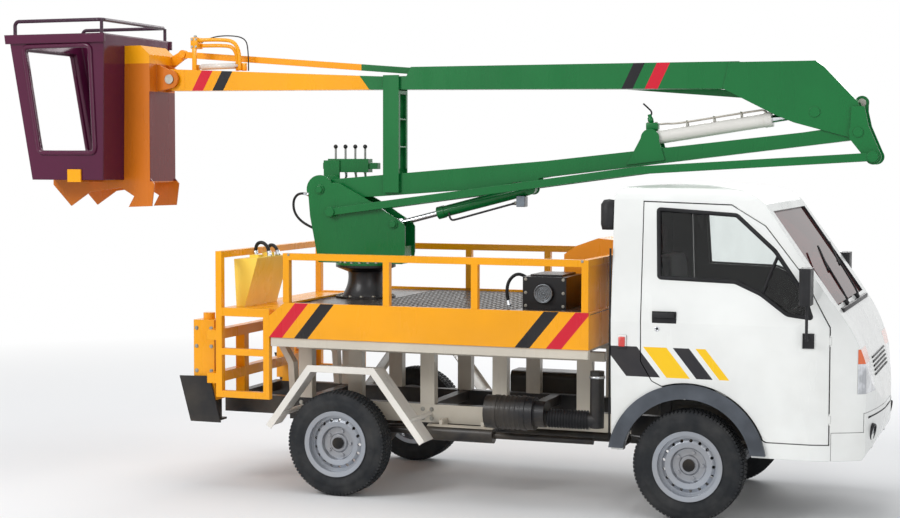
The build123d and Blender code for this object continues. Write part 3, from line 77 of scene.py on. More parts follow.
floor_shape = bmesh.new()
bmesh.ops.create_circle(floor_shape, cap_ends=True, segments=96, radius=45)
floor_mesh = bpy.data.meshes.new("studio_floor")
floor_shape.to_mesh(floor_mesh)
floor_shape.free()
floor = bpy.data.objects.new("studio_floor", floor_mesh)
scene.collection.objects.link(floor)
floor_paint = bpy.data.materials.new("floor_paint")
floor_paint.use_nodes = True
tree = floor_paint.node_tree
tree.nodes.clear()
floor_out = tree.nodes.new("ShaderNodeOutputMaterial")
floor_mix = tree.nodes.new("ShaderNodeMixShader")
floor_matt = tree.nodes.new("ShaderNodeBsdfDiffuse")
floor_matt.inputs["Color"].default_value = (0.84, 0.84, 0.84, 1)
floor_white = tree.nodes.new("ShaderNodeEmission")
floor_place = tree.nodes.new("ShaderNodeTexCoord")
floor_far = tree.nodes.new("ShaderNodeVectorMath")
floor_far.operation = "LENGTH"
floor_fade = tree.nodes.new("ShaderNodeMapRange")
for socket, value in ((1, 3.5), (2, 9.0), (3, 0.0), (4, 1.0)):
    floor_fade.inputs[socket].default_value = value
tree.links.new(floor_place.outputs["Object"], floor_far.inputs[0])
tree.links.new(floor_far.outputs["Value"], floor_fade.inputs[0])
floor_rays = tree.nodes.new("ShaderNodeLightPath")
floor_seen = tree.nodes.new("ShaderNodeMath")
floor_seen.operation = "MULTIPLY"
tree.links.new(seen_rays(tree, floor_rays), floor_seen.inputs[0])
tree.links.new(floor_fade.outputs[0], floor_seen.inputs[1])
tree.links.new(floor_seen.outputs[0], floor_mix.inputs[0])
tree.links.new(floor_matt.outputs[0], floor_mix.inputs[1])
tree.links.new(floor_white.outputs[0], floor_mix.inputs[2])
tree.links.new(floor_mix.outputs[0], floor_out.inputs["Surface"])
floor_mesh.materials.append(floor_paint)

LAMPS_AIM = Vector((0, 0, 1.2))
for lamp_name, place, size, power in (("key_lamp", (-5.0, -9.0, 7.0), 5.0, 590),
                                      ("fill_lamp", (7.0, -7.5, 4.5), 5.0, 170),
                                      ("top_lamp", (0.0, 0.5, 9.0), 7.0, 225),
                                      ("back_lamp", (1.0, 9.0, 6.0), 6.0, 380)):
    lamp = bpy.data.lights.new(lamp_name, "AREA")
    lamp.shape = "DISK"
    lamp.size = size
    lamp.energy = power
    stand = bpy.data.objects.new(lamp_name, lamp)
    stand.matrix_world = (Matrix.Translation(place)
                          @ (Vector(place) - LAMPS_AIM).to_track_quat("Z", "Y").to_matrix().to_4x4())
    scene.collection.objects.link(stand)

# Camera: stands about ten metres off the truck's right front and two metres up, with a long lens
# and a slight roll. Its place and angles are fitted to the photograph.
CAMERA_PLACE = (3.6863, -9.8522, 1.9876)
turn, rise, roll = radians(19.837), radians(3.345), radians(0.134)
back = Vector((sin(turn) * cos(rise), -cos(turn) * cos(rise), sin(rise)))
right = Vector((cos(turn), sin(turn), 0))
up = back.cross(right)
tilted_right = right * cos(roll) + up * sin(roll)
tilted_up = up * cos(roll) - right * sin(roll)
lens = bpy.data.cameras.new("camera")
lens.sensor_width = 36
lens.lens = 68.15
lens.clip_end = 200
camera = bpy.data.objects.new("camera", lens)
camera.matrix_world = (Matrix.Translation(CAMERA_PLACE)
                       @ Matrix((tilted_right, tilted_up, back)).transposed().to_4x4())
scene.collection.objects.link(camera)
scene.camera = camera

# Cab shell, doors and bumper: pressed sheet steel, sprayed gloss white over primer. Dark trim lines
# the inside, black underseal coats the arches, and plain slanted bars are stuck on the sides.
AXLE = -0.3285


def at(x, y, z):
    """A point given in millimetres from the rear axle, in the frame's metres."""
    return (x / 1000 + AXLE, y / 1000, z / 1000)


def srgb(red, green, blue):
    """A colour as a screen shows it, 0 to 255, as the shader needs it."""
    return [((c / 255 + 0.055) / 1.055) ** 2.4 if c > 10 else c / 255 / 12.92
            for c in (red, green, blue)] + [1]


class Finish:
    """A finish put together call by call: each call adds a node and gives its output."""

    def __init__(self, name, **settings):
        self.material = bpy.data.materials.new(name)
        self.material.use_nodes = True
        self.tree = self.material.node_tree
        self.shader = self.tree.nodes["Principled BSDF"]
        for socket, value in settings.items():
            self.shader.inputs[socket.replace("_", " ")].default_value = value
        coordinates = self.tree.nodes.new("ShaderNodeTexCoord")
        self.place = coordinates.outputs["Object"]
        self.facing = coordinates.outputs["Normal"]
        self.x, self.y, self.z = self.node("ShaderNodeSeparateXYZ", self.place).outputs
        self.normal = None

    def node(self, kind, *values):
        made = self.tree.nodes.new(kind)
        self.fill(made, values)
        return made

    def fill(self, made, values):
        for socket, value in zip(made.inputs, values):
            if isinstance(value, bpy.types.NodeSocket):
                self.tree.links.new(value, socket)
            elif value is not None:
                socket.default_value = value

    def math(self, operation, *values):
        made = self.tree.nodes.new("ShaderNodeMath")
        made.operation = operation
        self.fill(made, values)
        return made.outputs[0]

    def vector(self, operation, *values):
        made = self.tree.nodes.new("ShaderNodeVectorMath")
        made.operation = operation
        self.fill(made, values)
        return made.outputs["Value" if operation in ("DOT_PRODUCT", "LENGTH") else 0]

    def noise(self, scale, detail=3.0, stretch=None):
        made = self.tree.nodes.new("ShaderNodeTexNoise")
        made.inputs["Scale"].default_value = scale
        made.inputs["Detail"].default_value = detail
        place = self.vector("MULTIPLY", self.place, stretch) if stretch else self.place
        self.tree.links.new(place, made.inputs["Vector"])
        return made.outputs[0]

    def ramp(self, value, low, high, start=0.0, end=1.0):
        return self.node("ShaderNodeMapRange", value, low, high, start, end).outputs[0]

    def mix(self, share, first, second):
        made = self.tree.nodes.new("ShaderNodeMix")
        made.data_type = "RGBA"
        for socket, value in ((0, share), (6, first), (7, second)):
            if isinstance(value, bpy.types.NodeSocket):
                self.tree.links.new(value, made.inputs[socket])
            else:
                made.inputs[socket].default_value = value
        return made.outputs[2]

    def within(self, value, low, high):
        """1 where a value lies between two others, and 0 elsewhere."""
        return self.math("MULTIPLY", self.math("GREATER_THAN", value, low),
                         self.math("LESS_THAN", value, high))

    def every(self, *masks):
        shared = masks[0]
        for mask in masks[1:]:
            shared = self.math("MULTIPLY", shared, mask)
        return shared

    def rounded(self, radius):
        """Softens the look of sharp edges, and gives a mask of where they are."""
        made = self.tree.nodes.new("ShaderNodeBevel")
        made.samples = 4
        made.inputs["Radius"].default_value = radius
        self.normal = made.outputs[0]
        flat = self.tree.nodes.new("ShaderNodeNewGeometry").outputs["Normal"]
        return self.ramp(self.vector("DOT_PRODUCT", self.normal, flat), 0.985, 0.9)

    def bump(self, height, distance, strength=1.0):
        made = self.tree.nodes.new("ShaderNodeBump")
        made.inputs["Strength"].default_value = strength
        made.inputs["Distance"].default_value = distance
        self.tree.links.new(height, made.inputs["Height"])
        if self.normal is not None:
            self.tree.links.new(self.normal, made.inputs["Normal"])
        self.normal = made.outputs[0]

    def done(self, colour, roughness=None):
        self.tree.links.new(colour, self.shader.inputs["Base Color"])
        if roughness is not None:
            self.tree.links.new(roughness, self.shader.inputs["Roughness"])
        if self.normal is not None:
            self.tree.links.new(self.normal, self.shader.inputs["Normal"])
        return self.material


DUST = srgb(150, 135, 112)
PRIMER = srgb(88, 62, 50)


def enamel(name, colour, drawn=None, gloss=0.22, edge=0.004, wear=0.5, dust=0.18, **settings):
    """Sprayed enamel: a little uneven in tone, orange peel in the gloss, chipped edges, dust low down."""
    paint = Finish(name, **{"Coat_Weight": 0.12, "Coat_Roughness": 0.1, "Specular_IOR_Level": 0.3,
                            **settings})
    darker = [c * 0.92 for c in colour[:3]] + [1]
    lighter = [min(1, c * 1.04) for c in colour[:3]] + [1]
    shade = paint.mix(paint.ramp(paint.noise(1.7, 4), 0.35, 0.65), darker, lighter)
    if drawn:
        shade = drawn(paint, shade)
    edges = paint.rounded(edge)
    chips = paint.every(edges, paint.ramp(paint.noise(38, 5), 0.6, 0.68), wear)
    shade = paint.mix(chips, shade, PRIMER)
    settled = paint.every(paint.ramp(paint.z, 1.25, 0.25), paint.ramp(paint.noise(5, 6), 0.35, 0.75), dust)
    shade = paint.mix(settled, shade, DUST)
    streaks = paint.noise(9, 4, (1, 1, 0.12))
    rough = paint.math("ADD", paint.ramp(streaks, 0.3, 0.75, gloss, gloss + 0.14),
                       paint.math("MULTIPLY", settled, 0.5))
    paint.bump(paint.noise(420, 2), 0.00035, 0.35)
    return paint.done(shade, rough)


WHEELBASE = 2100
BLACK_FILM = srgb(34, 34, 40)
YELLOW_FILM = srgb(250, 200, 20)
UNDERSEAL = srgb(22, 22, 23)
TRIM_GREY = srgb(38, 38, 41)
CAB_MIDDLE = at(2350, 0, 1150)
CAB_FLANK = 0.7
BAR_SLOPE = 0.8
BAR_LEVEL = 0.88
BAR_LOW, BAR_HIGH = 0.8, 0.965
BARS = ((1700, 190, BLACK_FILM), (1925, 130, YELLOW_FILM), (2090, 90, BLACK_FILM), (2215, 55, YELLOW_FILM))
ARCH_HEIGHT, ARCH_RADIUS = 0.33, 0.3595


def cab_colours(paint, shade):
    """Slanted bars on the sides, underseal in the arches and dark trim on the faces that look inward."""
    slant = paint.math("ADD", paint.x, paint.math("MULTIPLY", paint.z, BAR_SLOPE))
    side = paint.every(paint.math("GREATER_THAN", paint.math("ABSOLUTE", paint.y), CAB_FLANK),
                       paint.within(paint.z, BAR_LOW, BAR_HIGH))
    for start, width, film in BARS:
        low = start / 1000 + AXLE + BAR_LEVEL * BAR_SLOPE
        shade = paint.mix(paint.every(side, paint.within(slant, low, low + width / 1000)), shade, film)
    squares = [paint.math("POWER", paint.math("ABSOLUTE", paint.math("SUBTRACT", value, middle)), 2)
               for value, middle in ((paint.x, WHEELBASE / 1000 + AXLE), (paint.z, ARCH_HEIGHT))]
    arch = paint.math("ADD", *squares)
    shade = paint.mix(paint.math("LESS_THAN", arch, ARCH_RADIUS ** 2), shade, UNDERSEAL)
    outward = paint.vector("DOT_PRODUCT", paint.vector("SUBTRACT", paint.place, CAB_MIDDLE), paint.facing)
    return paint.mix(paint.math("LESS_THAN", outward, 0.0), shade, TRIM_GREY)


def dress(material, *names):
    """Gives CAD nodes a finish."""
    for name in names:
        for place in nodes[name].material_slots:
            place.material = material


cab_paint = enamel("cab_gloss_white", srgb(238, 239, 236), cab_colours, gloss=0.16, edge=0.006,
                   wear=0.0, dust=0.15)
dress(cab_paint, "cab_shell", "door_right", "door_left", "front_bumper")


def cab_side(x, z):
    """How far the cab's side stands from the middle at a point of the side view, in millimetres."""
    by_height = 750 - max(0, z - 1100) * 86 / 670
    run = max(0, x - 2600)
    by_length = 750 - 2.5e-4 * run ** 2 - 1.05e-6 * run ** 3
    return min(by_height, by_length)


# Window rubbers: black extruded rubber, pressed round the opening of each door's window, with a
# divider bar at the quarter light.
def link(name, mesh, material, body):
    """A finished piece from a mesh whose points are already in place."""
    mesh.materials.clear()
    mesh.materials.append(material)
    for face in mesh.polygons:
        face.use_smooth = True
        face.material_index = 0
    made = bpy.data.objects.new(name, mesh)
    scene.collection.objects.link(made)
    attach(made, body)
    return made


def pipe_mesh(name, runs, radius, closed=False, order=3):
    """Round bar or rubber along smooth lines through control points, as one closed mesh."""
    line = bpy.data.curves.new(name, "CURVE")
    line.dimensions = "3D"
    line.bevel_depth = radius
    line.bevel_resolution = 3
    line.use_fill_caps = True
    line.resolution_u = 6
    for run in runs:
        spline = line.splines.new("NURBS")
        spline.points.add(len(run) - 1)
        for point, spot in zip(spline.points, run):
            point.co = (*spot, 1)
        spline.use_cyclic_u = closed
        spline.use_endpoint_u = not closed
        spline.order_u = order
    holder = bpy.data.objects.new(name, line)
    scene.collection.objects.link(holder)
    bpy.context.view_layer.update()
    mesh = bpy.data.meshes.new_from_object(holder.evaluated_get(bpy.context.evaluated_depsgraph_get()))
    bpy.data.objects.remove(holder)
    shape = bmesh.new()
    shape.from_mesh(mesh)
    bmesh.ops.remove_doubles(shape, verts=shape.verts, dist=1e-6)
    bmesh.ops.recalc_face_normals(shape, faces=shape.faces)
    shape.to_mesh(mesh)
    shape.free()
    mesh.name = name
    return mesh


def rounded_loop(corners, reach):
    """Control points of a closed outline whose corners are cut by a reach on each side."""
    loop = []
    for before, corner, after in zip(corners[-1:] + corners[:-1], corners, corners[1:] + corners[:1]):
        for other in (before, corner, after):
            if other is corner:
                loop.append(corner)
                continue
            span = hypot(other[0] - corner[0], other[1] - corner[1])
            share = min(reach, span * 0.4) / span
            loop.append((corner[0] + (other[0] - corner[0]) * share,
                         corner[1] + (other[1] - corner[1]) * share))
    return loop


def rubber_finish(name, colour, rough=0.62):
    """Moulded rubber or coarse plastic: nearly black, finely pitted, greyed with dust in places."""
    rubber = Finish(name, Specular_IOR_Level=0.25)
    greyed = [c * 1.7 + 0.004 for c in colour[:3]] + [1]
    shade = rubber.mix(rubber.ramp(rubber.noise(6, 5), 0.35, 0.7), colour, greyed)
    rubber.bump(rubber.noise(700, 2), 0.0004, 0.5)
    return rubber.done(shade, rubber.ramp(rubber.noise(25, 3), 0.3, 0.7, rough - 0.1, rough + 0.1))


black_rubber = rubber_finish("black_rubber", srgb(24, 24, 26))
WINDOW = [(1919, 1718), (1936, 1345), (2354, 1332), (2494, 1270), (2636, 1166), (2765, 1150), (2722, 1278),
          (2562, 1502), (2350, 1690)]
for hand, side in (("right", -1), ("left", 1)):
    seal = [at(x, side * (cab_side(x, z) - 3), z) for x, z in rounded_loop(WINDOW, 28)]
    divider = [at(x, side * (cab_side(x, z) - 10), z) for x, z in ((2500, 1262), (2535, 1380), (2580, 1480))]
    link(f"window_rubber_{hand}", pipe_mesh(f"window_rubber_{hand}", [seal], 0.012, closed=True),
         black_rubber, f"door_{hand}")
    link(f"quarter_light_bar_{hand}", pipe_mesh(f"quarter_light_bar_{hand}", [divider], 0.009),
         black_rubber, f"door_{hand}")

# Glass: toughened panes fixed in their openings, clear in the doors and tinted dark red in the
# windscreen and the rear window, with dust on them in streaks.
def glass(name, tint, dust, bend, clear=1.0):
    """A pane by its tint, how rough dust makes it, how it bends light and how much it lets through."""
    pane = Finish(name, Transmission_Weight=clear, IOR=bend)
    smear = pane.ramp(pane.noise(7, 5, (1, 1, 0.4)), 0.45, 0.8)
    return pane.done(pane.mix(smear, tint, [c * 0.9 for c in tint[:3]] + [1]),
                     pane.ramp(smear, 0.0, 1.0, 0.01, dust))


dress(glass("tinted_glass", srgb(104, 44, 44), 0.06, 1.15, 0.6), "cab_glass")
dress(glass("clear_glass_pane", srgb(240, 244, 243), 0.03, 1.3), "door_glass_right", "door_glass_left")

# Cabin fittings: injection-moulded plastic with a fine grain, nearly black on the dashboard, steering
# wheel and mirrors, and grey on the flares that are clipped round the wheel arches.
cabin_black = rubber_finish("cabin_plastic_grain", srgb(30, 30, 32), 0.5)
flare_grey = rubber_finish("flare_plastic", srgb(66, 70, 76), 0.42)
dress(cabin_black, "dashboard", "steering_wheel", "mirror_right", "mirror_left")
dress(flare_grey, "arch_flares")

# Headlamps: a clear moulded lens with upright flutes, bonded over a bright pressed reflector, with an
# amber turn lamp in its top quarter.
AMBER_ABOVE = 0.905
lamp = Finish("headlamp_lens", Roughness=0.08, Coat_Weight=1.0, Coat_Roughness=0.03)
flutes = lamp.math("SINE", lamp.math("MULTIPLY", lamp.y, 620.0))
reflector = lamp.mix(lamp.ramp(lamp.noise(14, 2), 0.4, 0.6), srgb(172, 174, 178), srgb(222, 224, 228))
lamp_shade = lamp.mix(lamp.math("GREATER_THAN", lamp.z, AMBER_ABOVE), reflector, srgb(226, 96, 24))
lamp.bump(flutes, 0.0012, 0.5)
dress(lamp.done(lamp_shade), "headlamps")

# Seats: two cushions and their backs, of moulded foam under dark woven cloth that is drawn in at the
# sides and sewn through along two lines.
def cushion_mesh(name, low, high, face):
    """A foam pad with rounded corners, a crowned face, sides drawn in between corners and two sewn lines."""
    shape = bmesh.new()
    bmesh.ops.create_cube(shape, size=2)
    bmesh.ops.subdivide_edges(shape, edges=shape.edges, cuts=15, use_grid_fill=True)
    middle = (Vector(low) + Vector(high)) / 2
    half = (Vector(high) - Vector(low)) / 2
    across = [axis for axis in range(3) if axis != face]
    for spot in shape.verts:
        norm = sum(abs(c) ** 6 for c in spot.co) ** (1 / 6)
        co = spot.co / norm
        u, v = co[across[0]], co[across[1]]
        swell = (1 - u * u) * (1 - v * v)
        pull = 0.02 * (1 - co[face] ** 2)
        for axis, other in ((across[0], v), (across[1], u)):
            co[axis] *= 1 - pull - 0.03 * (1 - other * other)
        thick = 0.86 + 0.14 * swell
        if co[face] > 0:
            for seam in (-0.45, 0.45):
                thick -= 0.05 * max(0, 1 - abs(v - seam) / 0.07) * (1 if abs(u) < 0.95 else 0)
            co[face] *= thick
        spot.co = Vector([middle[i] + half[i] * co[i] for i in range(3)])
    mesh = bpy.data.meshes.new(name)
    shape.to_mesh(mesh)
    shape.free()
    return mesh


cloth = Finish("seat_cloth", Sheen_Weight=0.4, Roughness=0.85)
weave = cloth.math("MULTIPLY", cloth.math("SINE", cloth.math("MULTIPLY", cloth.x, 1900.0)),
                   cloth.math("SINE", cloth.math("MULTIPLY", cloth.y, 1900.0)))
cloth_shade = cloth.mix(cloth.ramp(cloth.noise(60, 3), 0.35, 0.65), srgb(38, 40, 46), srgb(58, 60, 68))
cloth.bump(weave, 0.0006, 0.6)
seat_cloth = cloth.done(cloth_shade)
SEAT_INNER, SEAT_OUTER = 94, 596
BACK_PIVOT, BACK_LEAN = 1.15, 0.07
for hand, side in (("right", -1), ("left", 1)):
    near, far = sorted((side * SEAT_INNER, side * SEAT_OUTER))
    level = cushion_mesh("seat_cushion", at(1834, near, 722), at(2286, far, 899), 2)
    seat = link(f"seat_cushion_{hand}", level, seat_cloth, "chassis")
    leaning = cushion_mesh("seat_back", at(1745, near, 872), at(1845, far, 1432), 0)
    for spot in leaning.vertices:
        spot.co.x -= (spot.co.z - BACK_PIVOT) * BACK_LEAN
    rest = link(f"seat_back_{hand}", leaning, seat_cloth, "chassis")
    for pad in (seat, rest):
        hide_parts("seats")

# Door handles, locks, side lamps: black plastic pull in a recess, plated key barrel, red lens in a
# white surround behind the door.
def slab_mesh(name, low, high, radius):
    """A moulded block with rounded edges between two corners."""
    shape = bmesh.new()
    bmesh.ops.create_cube(shape, size=1)
    size = Vector(high) - Vector(low)
    middle = (Vector(high) + Vector(low)) / 2
    for spot in shape.verts:
        spot.co = Vector([spot.co[i] * abs(size[i]) + middle[i] for i in range(3)])
    bmesh.ops.bevel(shape, geom=shape.edges, offset=radius, segments=3, affect="EDGES", profile=0.5)
    bmesh.ops.recalc_face_normals(shape, faces=shape.faces)
    mesh = bpy.data.meshes.new(name)
    shape.to_mesh(mesh)
    shape.free()
    return mesh


def turned_mesh(name, outline, centre, axis, steps=48):
    """A turned piece: (distance along the axis, radius) pairs swept round, closed at both ends."""
    shape = bmesh.new()
    rings = []
    for along, radius in outline:
        if radius <= 0:
            rings.append([shape.verts.new((0, 0, along))])
        else:
            rings.append([shape.verts.new((radius * cos(2 * pi * k / steps),
                                           radius * sin(2 * pi * k / steps), along)) for k in range(steps)])
    for first, second in zip(rings, rings[1:]):
        for k in range(steps):
            loop = [first[k % len(first)], first[(k + 1) % len(first)], second[(k + 1) % len(second)],
                    second[k % len(second)]]
            unique = [spot for i, spot in enumerate(loop) if spot not in loop[:i]]
            if len(unique) > 2:
                shape.faces.new(unique)
    for ring in (rings[0], rings[-1]):
        if len(ring) > 1:
            shape.faces.new(ring)
    bmesh.ops.recalc_face_normals(shape, faces=shape.faces)
    turned = Vector(axis).to_track_quat("Z", "Y").to_matrix().to_4x4()
    bmesh.ops.transform(shape, matrix=Matrix.Translation(centre) @ turned, verts=shape.verts)
    mesh = bpy.data.meshes.new(name)
    shape.to_mesh(mesh)
    shape.free()
    return mesh


def metal(name, colour, rough=0.3, grain=(1, 1, 30), metallic=1.0):
    """Bare or plated steel with fine drawn marks and a little grime."""
    steel = Finish(name, Metallic=metallic)
    marks = steel.noise(60, 4, grain)
    grime = steel.ramp(steel.noise(11, 5), 0.55, 0.8)
    shade = steel.mix(grime, colour, [c * 0.45 for c in colour[:3]] + [1])
    steel.rounded(0.0015)
    steel.bump(marks, 0.0002, 0.5)
    return steel.done(shade, steel.ramp(marks, 0.3, 0.7, rough - 0.08, rough + 0.12))


plated = metal("plated_steel", srgb(205, 208, 212), 0.25)
red_lens = Finish("red_lens", Coat_Weight=1.0, Roughness=0.15)
red_lens.bump(red_lens.math("SINE", red_lens.math("MULTIPLY", red_lens.z, 900.0)), 0.0006, 0.5)
red_lamp = red_lens.done(red_lens.mix(red_lens.noise(30, 2), srgb(190, 24, 24), srgb(228, 62, 50)))
LOCK = [(0, 0.014), (0.004, 0.014), (0.005, 0.012), (0.005, 0.008), (0.002, 0.007), (0.002, 0)]


def side_block(name, side, along, across, upward, radius):
    """A moulded block on one flank: spans in millimetres, across counted from the truck's middle."""
    near, far = sorted((side * across[0], side * across[1]))
    return slab_mesh(name, at(along[0], near, upward[0]), at(along[1], far, upward[1]), radius)


for hand, side in (("right", -1), ("left", 1)):
    door = f"door_{hand}"
    link(f"handle_recess_{hand}", side_block("recess", side, (1905, 2040), (747, 751.5), (1098, 1163), 0.002),
         black_rubber, door)
    link(f"handle_pull_{hand}", side_block("pull", side, (1912, 2030), (750, 764), (1127, 1156), 0.005),
         cabin_black, door)
    link(f"door_lock_{hand}", turned_mesh("lock", LOCK, at(1934, side * 748, 1066), (0, side, 0), 24),
         plated, door)
    link(f"side_lamp_base_{hand}", side_block("base", side, (1712, 1765), (748, 757), (950, 1028), 0.004),
         cab_paint, "chassis")
    link(f"side_lamp_{hand}", side_block("lens", side, (1720, 1757), (750, 766), (962, 1017), 0.006),
         red_lamp, "chassis")

# Deck: steel boards round a tread plate floor, sprayed yellow with one red and one black stripe at
# each end of both side boards.
STRIPE_RED = srgb(206, 18, 46)
STRIPE_BLACK = srgb(18, 17, 22)
BODY_YELLOW = srgb(245, 165, 8)
TREAD_GREY = srgb(52, 48, 46)
BOARD_STRIPES = ((-284, 86, STRIPE_RED), (-120, 87, STRIPE_BLACK),
                 (1246, 88, STRIPE_BLACK), (1430, 90, STRIPE_RED))
BOARD_LOW, BOARD_HIGH, BOARD_FACE = 0.9, 1.1395, 0.7435
TREAD_HALF, TREAD_LOW, TREAD_HIGH = 0.7195, 1.1235, 1.1285


def striped(rows, slope, level, low, high, out):
    """Slanted stripes: (middle, width, colour) rows in millimetres along X at a level of the side view."""
    def draw(paint, shade):
        rise = paint.math("SUBTRACT", paint.z, level)
        slant = paint.math("SUBTRACT", paint.x, paint.math("MULTIPLY", rise, slope))
        side = paint.every(paint.math("GREATER_THAN", paint.math("ABSOLUTE", paint.y), out),
                           paint.within(paint.z, low, high))
        for middle, width, film in rows:
            start = (middle - width / 2) / 1000 + AXLE
            stripe = paint.every(side, paint.within(slant, start, start + width / 1000))
            shade = paint.mix(stripe, shade, film)
        return shade
    return draw


def deck_colours(paint, shade):
    """Stripes on the outer faces of the side boards, and bare grey steel on the tread plate."""
    shade = striped(BOARD_STRIPES, 0.82, 1.0355, BOARD_LOW, BOARD_HIGH, BOARD_FACE)(paint, shade)
    tread = paint.every(paint.math("LESS_THAN", paint.math("ABSOLUTE", paint.y), TREAD_HALF),
                        paint.within(paint.z, TREAD_LOW, TREAD_HIGH))
    return paint.mix(tread, shade, TREAD_GREY)


dress(enamel("deck_yellow_paint", BODY_YELLOW, deck_colours, wear=0.6), "deck_body")
plain_yellow = enamel("frame_yellow_paint", BODY_YELLOW, wear=0.8)
dress(plain_yellow, "deck_rails", "rear_platform", "stabiliser_sleeves")
dress(enamel("tank_yellow_paint", srgb(250, 214, 88), wear=0.5), "oil_tank")
dress(enamel("cover_orange_paint", srgb(244, 150, 24), wear=0.5), "pump_cover")

# Booms, links and turret: folded and welded steel plate in green enamel, with a black and a red
# stripe near the knuckle. The boom's end and the link above it are yellow.
BOOM_GREEN = srgb(6, 108, 50)
boom_paint = enamel("boom_green_paint", BOOM_GREEN, wear=0.5)
dress(boom_paint, "turret", "lower_boom", "boom_rest", "lower_links", "level_lever", "lift_barrel")
dress(enamel("upper_boom_paint", BOOM_GREEN, striped(((1623, 68, STRIPE_BLACK), (1768, 78, STRIPE_RED)),
      0.48, 2.488, 2.4, 2.5535, 0.0545), wear=0.5), "upper_boom")
dress(enamel("boom_tip_paint", BODY_YELLOW, striped(((-1207, 80, STRIPE_RED), (-1061, 78, STRIPE_BLACK)),
      0.55, 2.5, 2.4, 2.5535, 0.0485), wear=0.5), "boom_tip")


STEMS_ABOVE, KNOBS_ABOVE = 1.991, 2.054


def valve_colours(paint, shade):
    """Bare stems and black knobs on the levers above the block."""
    shade = paint.mix(paint.math("GREATER_THAN", paint.z, STEMS_ABOVE), shade, srgb(150, 150, 148))
    return paint.mix(paint.math("GREATER_THAN", paint.z, KNOBS_ABOVE), shade, srgb(20, 20, 22))


dress(enamel("valve_green_paint", BOOM_GREEN, valve_colours, wear=0.5), "valve_block")


LINK_YELLOW_BEHIND = -0.17


def link_colours(paint, shade):
    """Yellow on the rear part of the link, where it follows the boom's end."""
    return paint.mix(paint.math("LESS_THAN", paint.x, AXLE + LINK_YELLOW_BEHIND), shade, BODY_YELLOW)


dress(enamel("upper_link_paint", BOOM_GREEN, link_colours, wear=0.5), "upper_link")

# Bucket: glass fibre tub in glossy maroon gel coat, thick at the rim and round its openings. The
# steel column behind it is orange, partly its own paint and partly painted shade, with its front face dark
# red as painted shade.
SILL = 2030.0
RAIL_ABOVE = 2.786
RIM_RADIUS = 0.016


def bucket_colours(paint, shade):
    """A darker coat on the hand rail, above the tub's rim."""
    return paint.mix(paint.math("GREATER_THAN", paint.z, RAIL_ABOVE), shade, srgb(58, 26, 48))


gel_coat = enamel("bucket_gel_coat", srgb(80, 16, 52), bucket_colours, gloss=0.1, edge=0.014,
                  wear=0.0, dust=0.1)
dress(gel_coat, "bucket")
for hand, side in (("right", -1), ("left", 1)):
    sill = [at(x, side * 422, z) for x, z in
            rounded_loop([(-2196, SILL - 6), (-1784, SILL - 6), (-1816, 2707), (-2306, 2702)], 70)]
    link(f"bucket_opening_rim_{hand}", pipe_mesh("rim", [sill], RIM_RADIUS, closed=True), gel_coat, "bucket")
back_opening = [at(-2253 - (z - 1851) * 0.18, y, z) for y, z in
                rounded_loop([(-302, SILL - 4), (302, SILL - 4), (302, 2698), (-302, 2698)], 60)]
link("bucket_back_rim", pipe_mesh("rim", [back_opening], RIM_RADIUS, closed=True), gel_coat, "bucket")


COLUMN_FRONT = -1.5375
FRONT_LOW, FRONT_HIGH = 1.842, 2.42
CLIPS_OUTSIDE, HEAD_ABOVE = 0.4225, 2.6


def column_colours_with_painted_shade(paint, shade):
    """Dark red painted shade on the column's front face, yellow on its head and on the clips that hold the
    tub.
    """
    front = paint.every(paint.math("GREATER_THAN", paint.x, AXLE + COLUMN_FRONT),
                        paint.within(paint.z, FRONT_LOW, FRONT_HIGH))
    # Painted shade: the front face is coloured dark red for the shade it lies in.
    shade = paint.mix(front, shade, srgb(104, 22, 24))
    clip = paint.math("GREATER_THAN", paint.math("ABSOLUTE", paint.y), CLIPS_OUTSIDE)
    head = paint.math("GREATER_THAN", paint.z, HEAD_ABOVE)
    return paint.mix(paint.math("MAXIMUM", clip, head), shade, BODY_YELLOW)


# The column's orange is deeper than the yellow parts: partly its own paint, partly painted shade.
dress(enamel("column_orange_paint", srgb(206, 112, 22), column_colours_with_painted_shade, wear=0.5), "bucket_column")

# Deck bearers, rear mudguards and upper cylinder: welded steel tube and folded sheet, in pale grey
# enamel on the bearers and off-white on the other two.
BEARER_GREY = srgb(205, 198, 184)
dress(enamel("bearer_grey_paint", BEARER_GREY, wear=0.7), "deck_frame")
dress(enamel("guard_white_paint", srgb(232, 228, 220), wear=0.5, dust=0.3), "rear_mudguards")
cylinder_white = enamel("cylinder_white_paint", srgb(224, 221, 215), wear=0.5)
dress(cylinder_white, "luff_barrel")

# Chassis, axles, springs, stabiliser plates, pedestal, tanks and power pack: pressed and welded steel in
# black chassis enamel. The outer faces of the two long rails are pale grey, as the bearers on them are.
chassis_paint = enamel("chassis_black_paint", srgb(26, 26, 29), gloss=0.32, wear=0.5, dust=0.2)
RAIL_REAR, RAIL_FRONT = -0.16, 1.7
RAIL_LOW, RAIL_HIGH, RAIL_FACE = 0.412, 0.5255, 0.3645


def rail_colours(paint, shade):
    """Pale grey on the outer faces of the long rails."""
    rail = paint.every(paint.within(paint.x, AXLE + RAIL_REAR, AXLE + RAIL_FRONT),
                       paint.within(paint.z, RAIL_LOW, RAIL_HIGH),
                       paint.math("GREATER_THAN", paint.math("ABSOLUTE", paint.y), RAIL_FACE))
    return paint.mix(rail, shade, BEARER_GREY)


dress(enamel("rail_two_colours", srgb(30, 30, 33), rail_colours, gloss=0.32, wear=0.5, dust=0.25),
      "chassis_frame")
dress(chassis_paint, "rear_axle", "front_axle", "knuckle_right", "knuckle_left", "leaf_springs",
      "air_cleaner", "fuel_tank", "stabiliser_leg_right", "stabiliser_leg_left", "pedestal", "power_pack")

# Engine: one block of cast iron and sheet steel, mounted in the frame under the seats, bare and
# covered with oil and road dust.
dress(enamel("engine_iron_cast", srgb(84, 84, 82), gloss=0.5, edge=0.006, wear=0.3, dust=0.7), "engine")

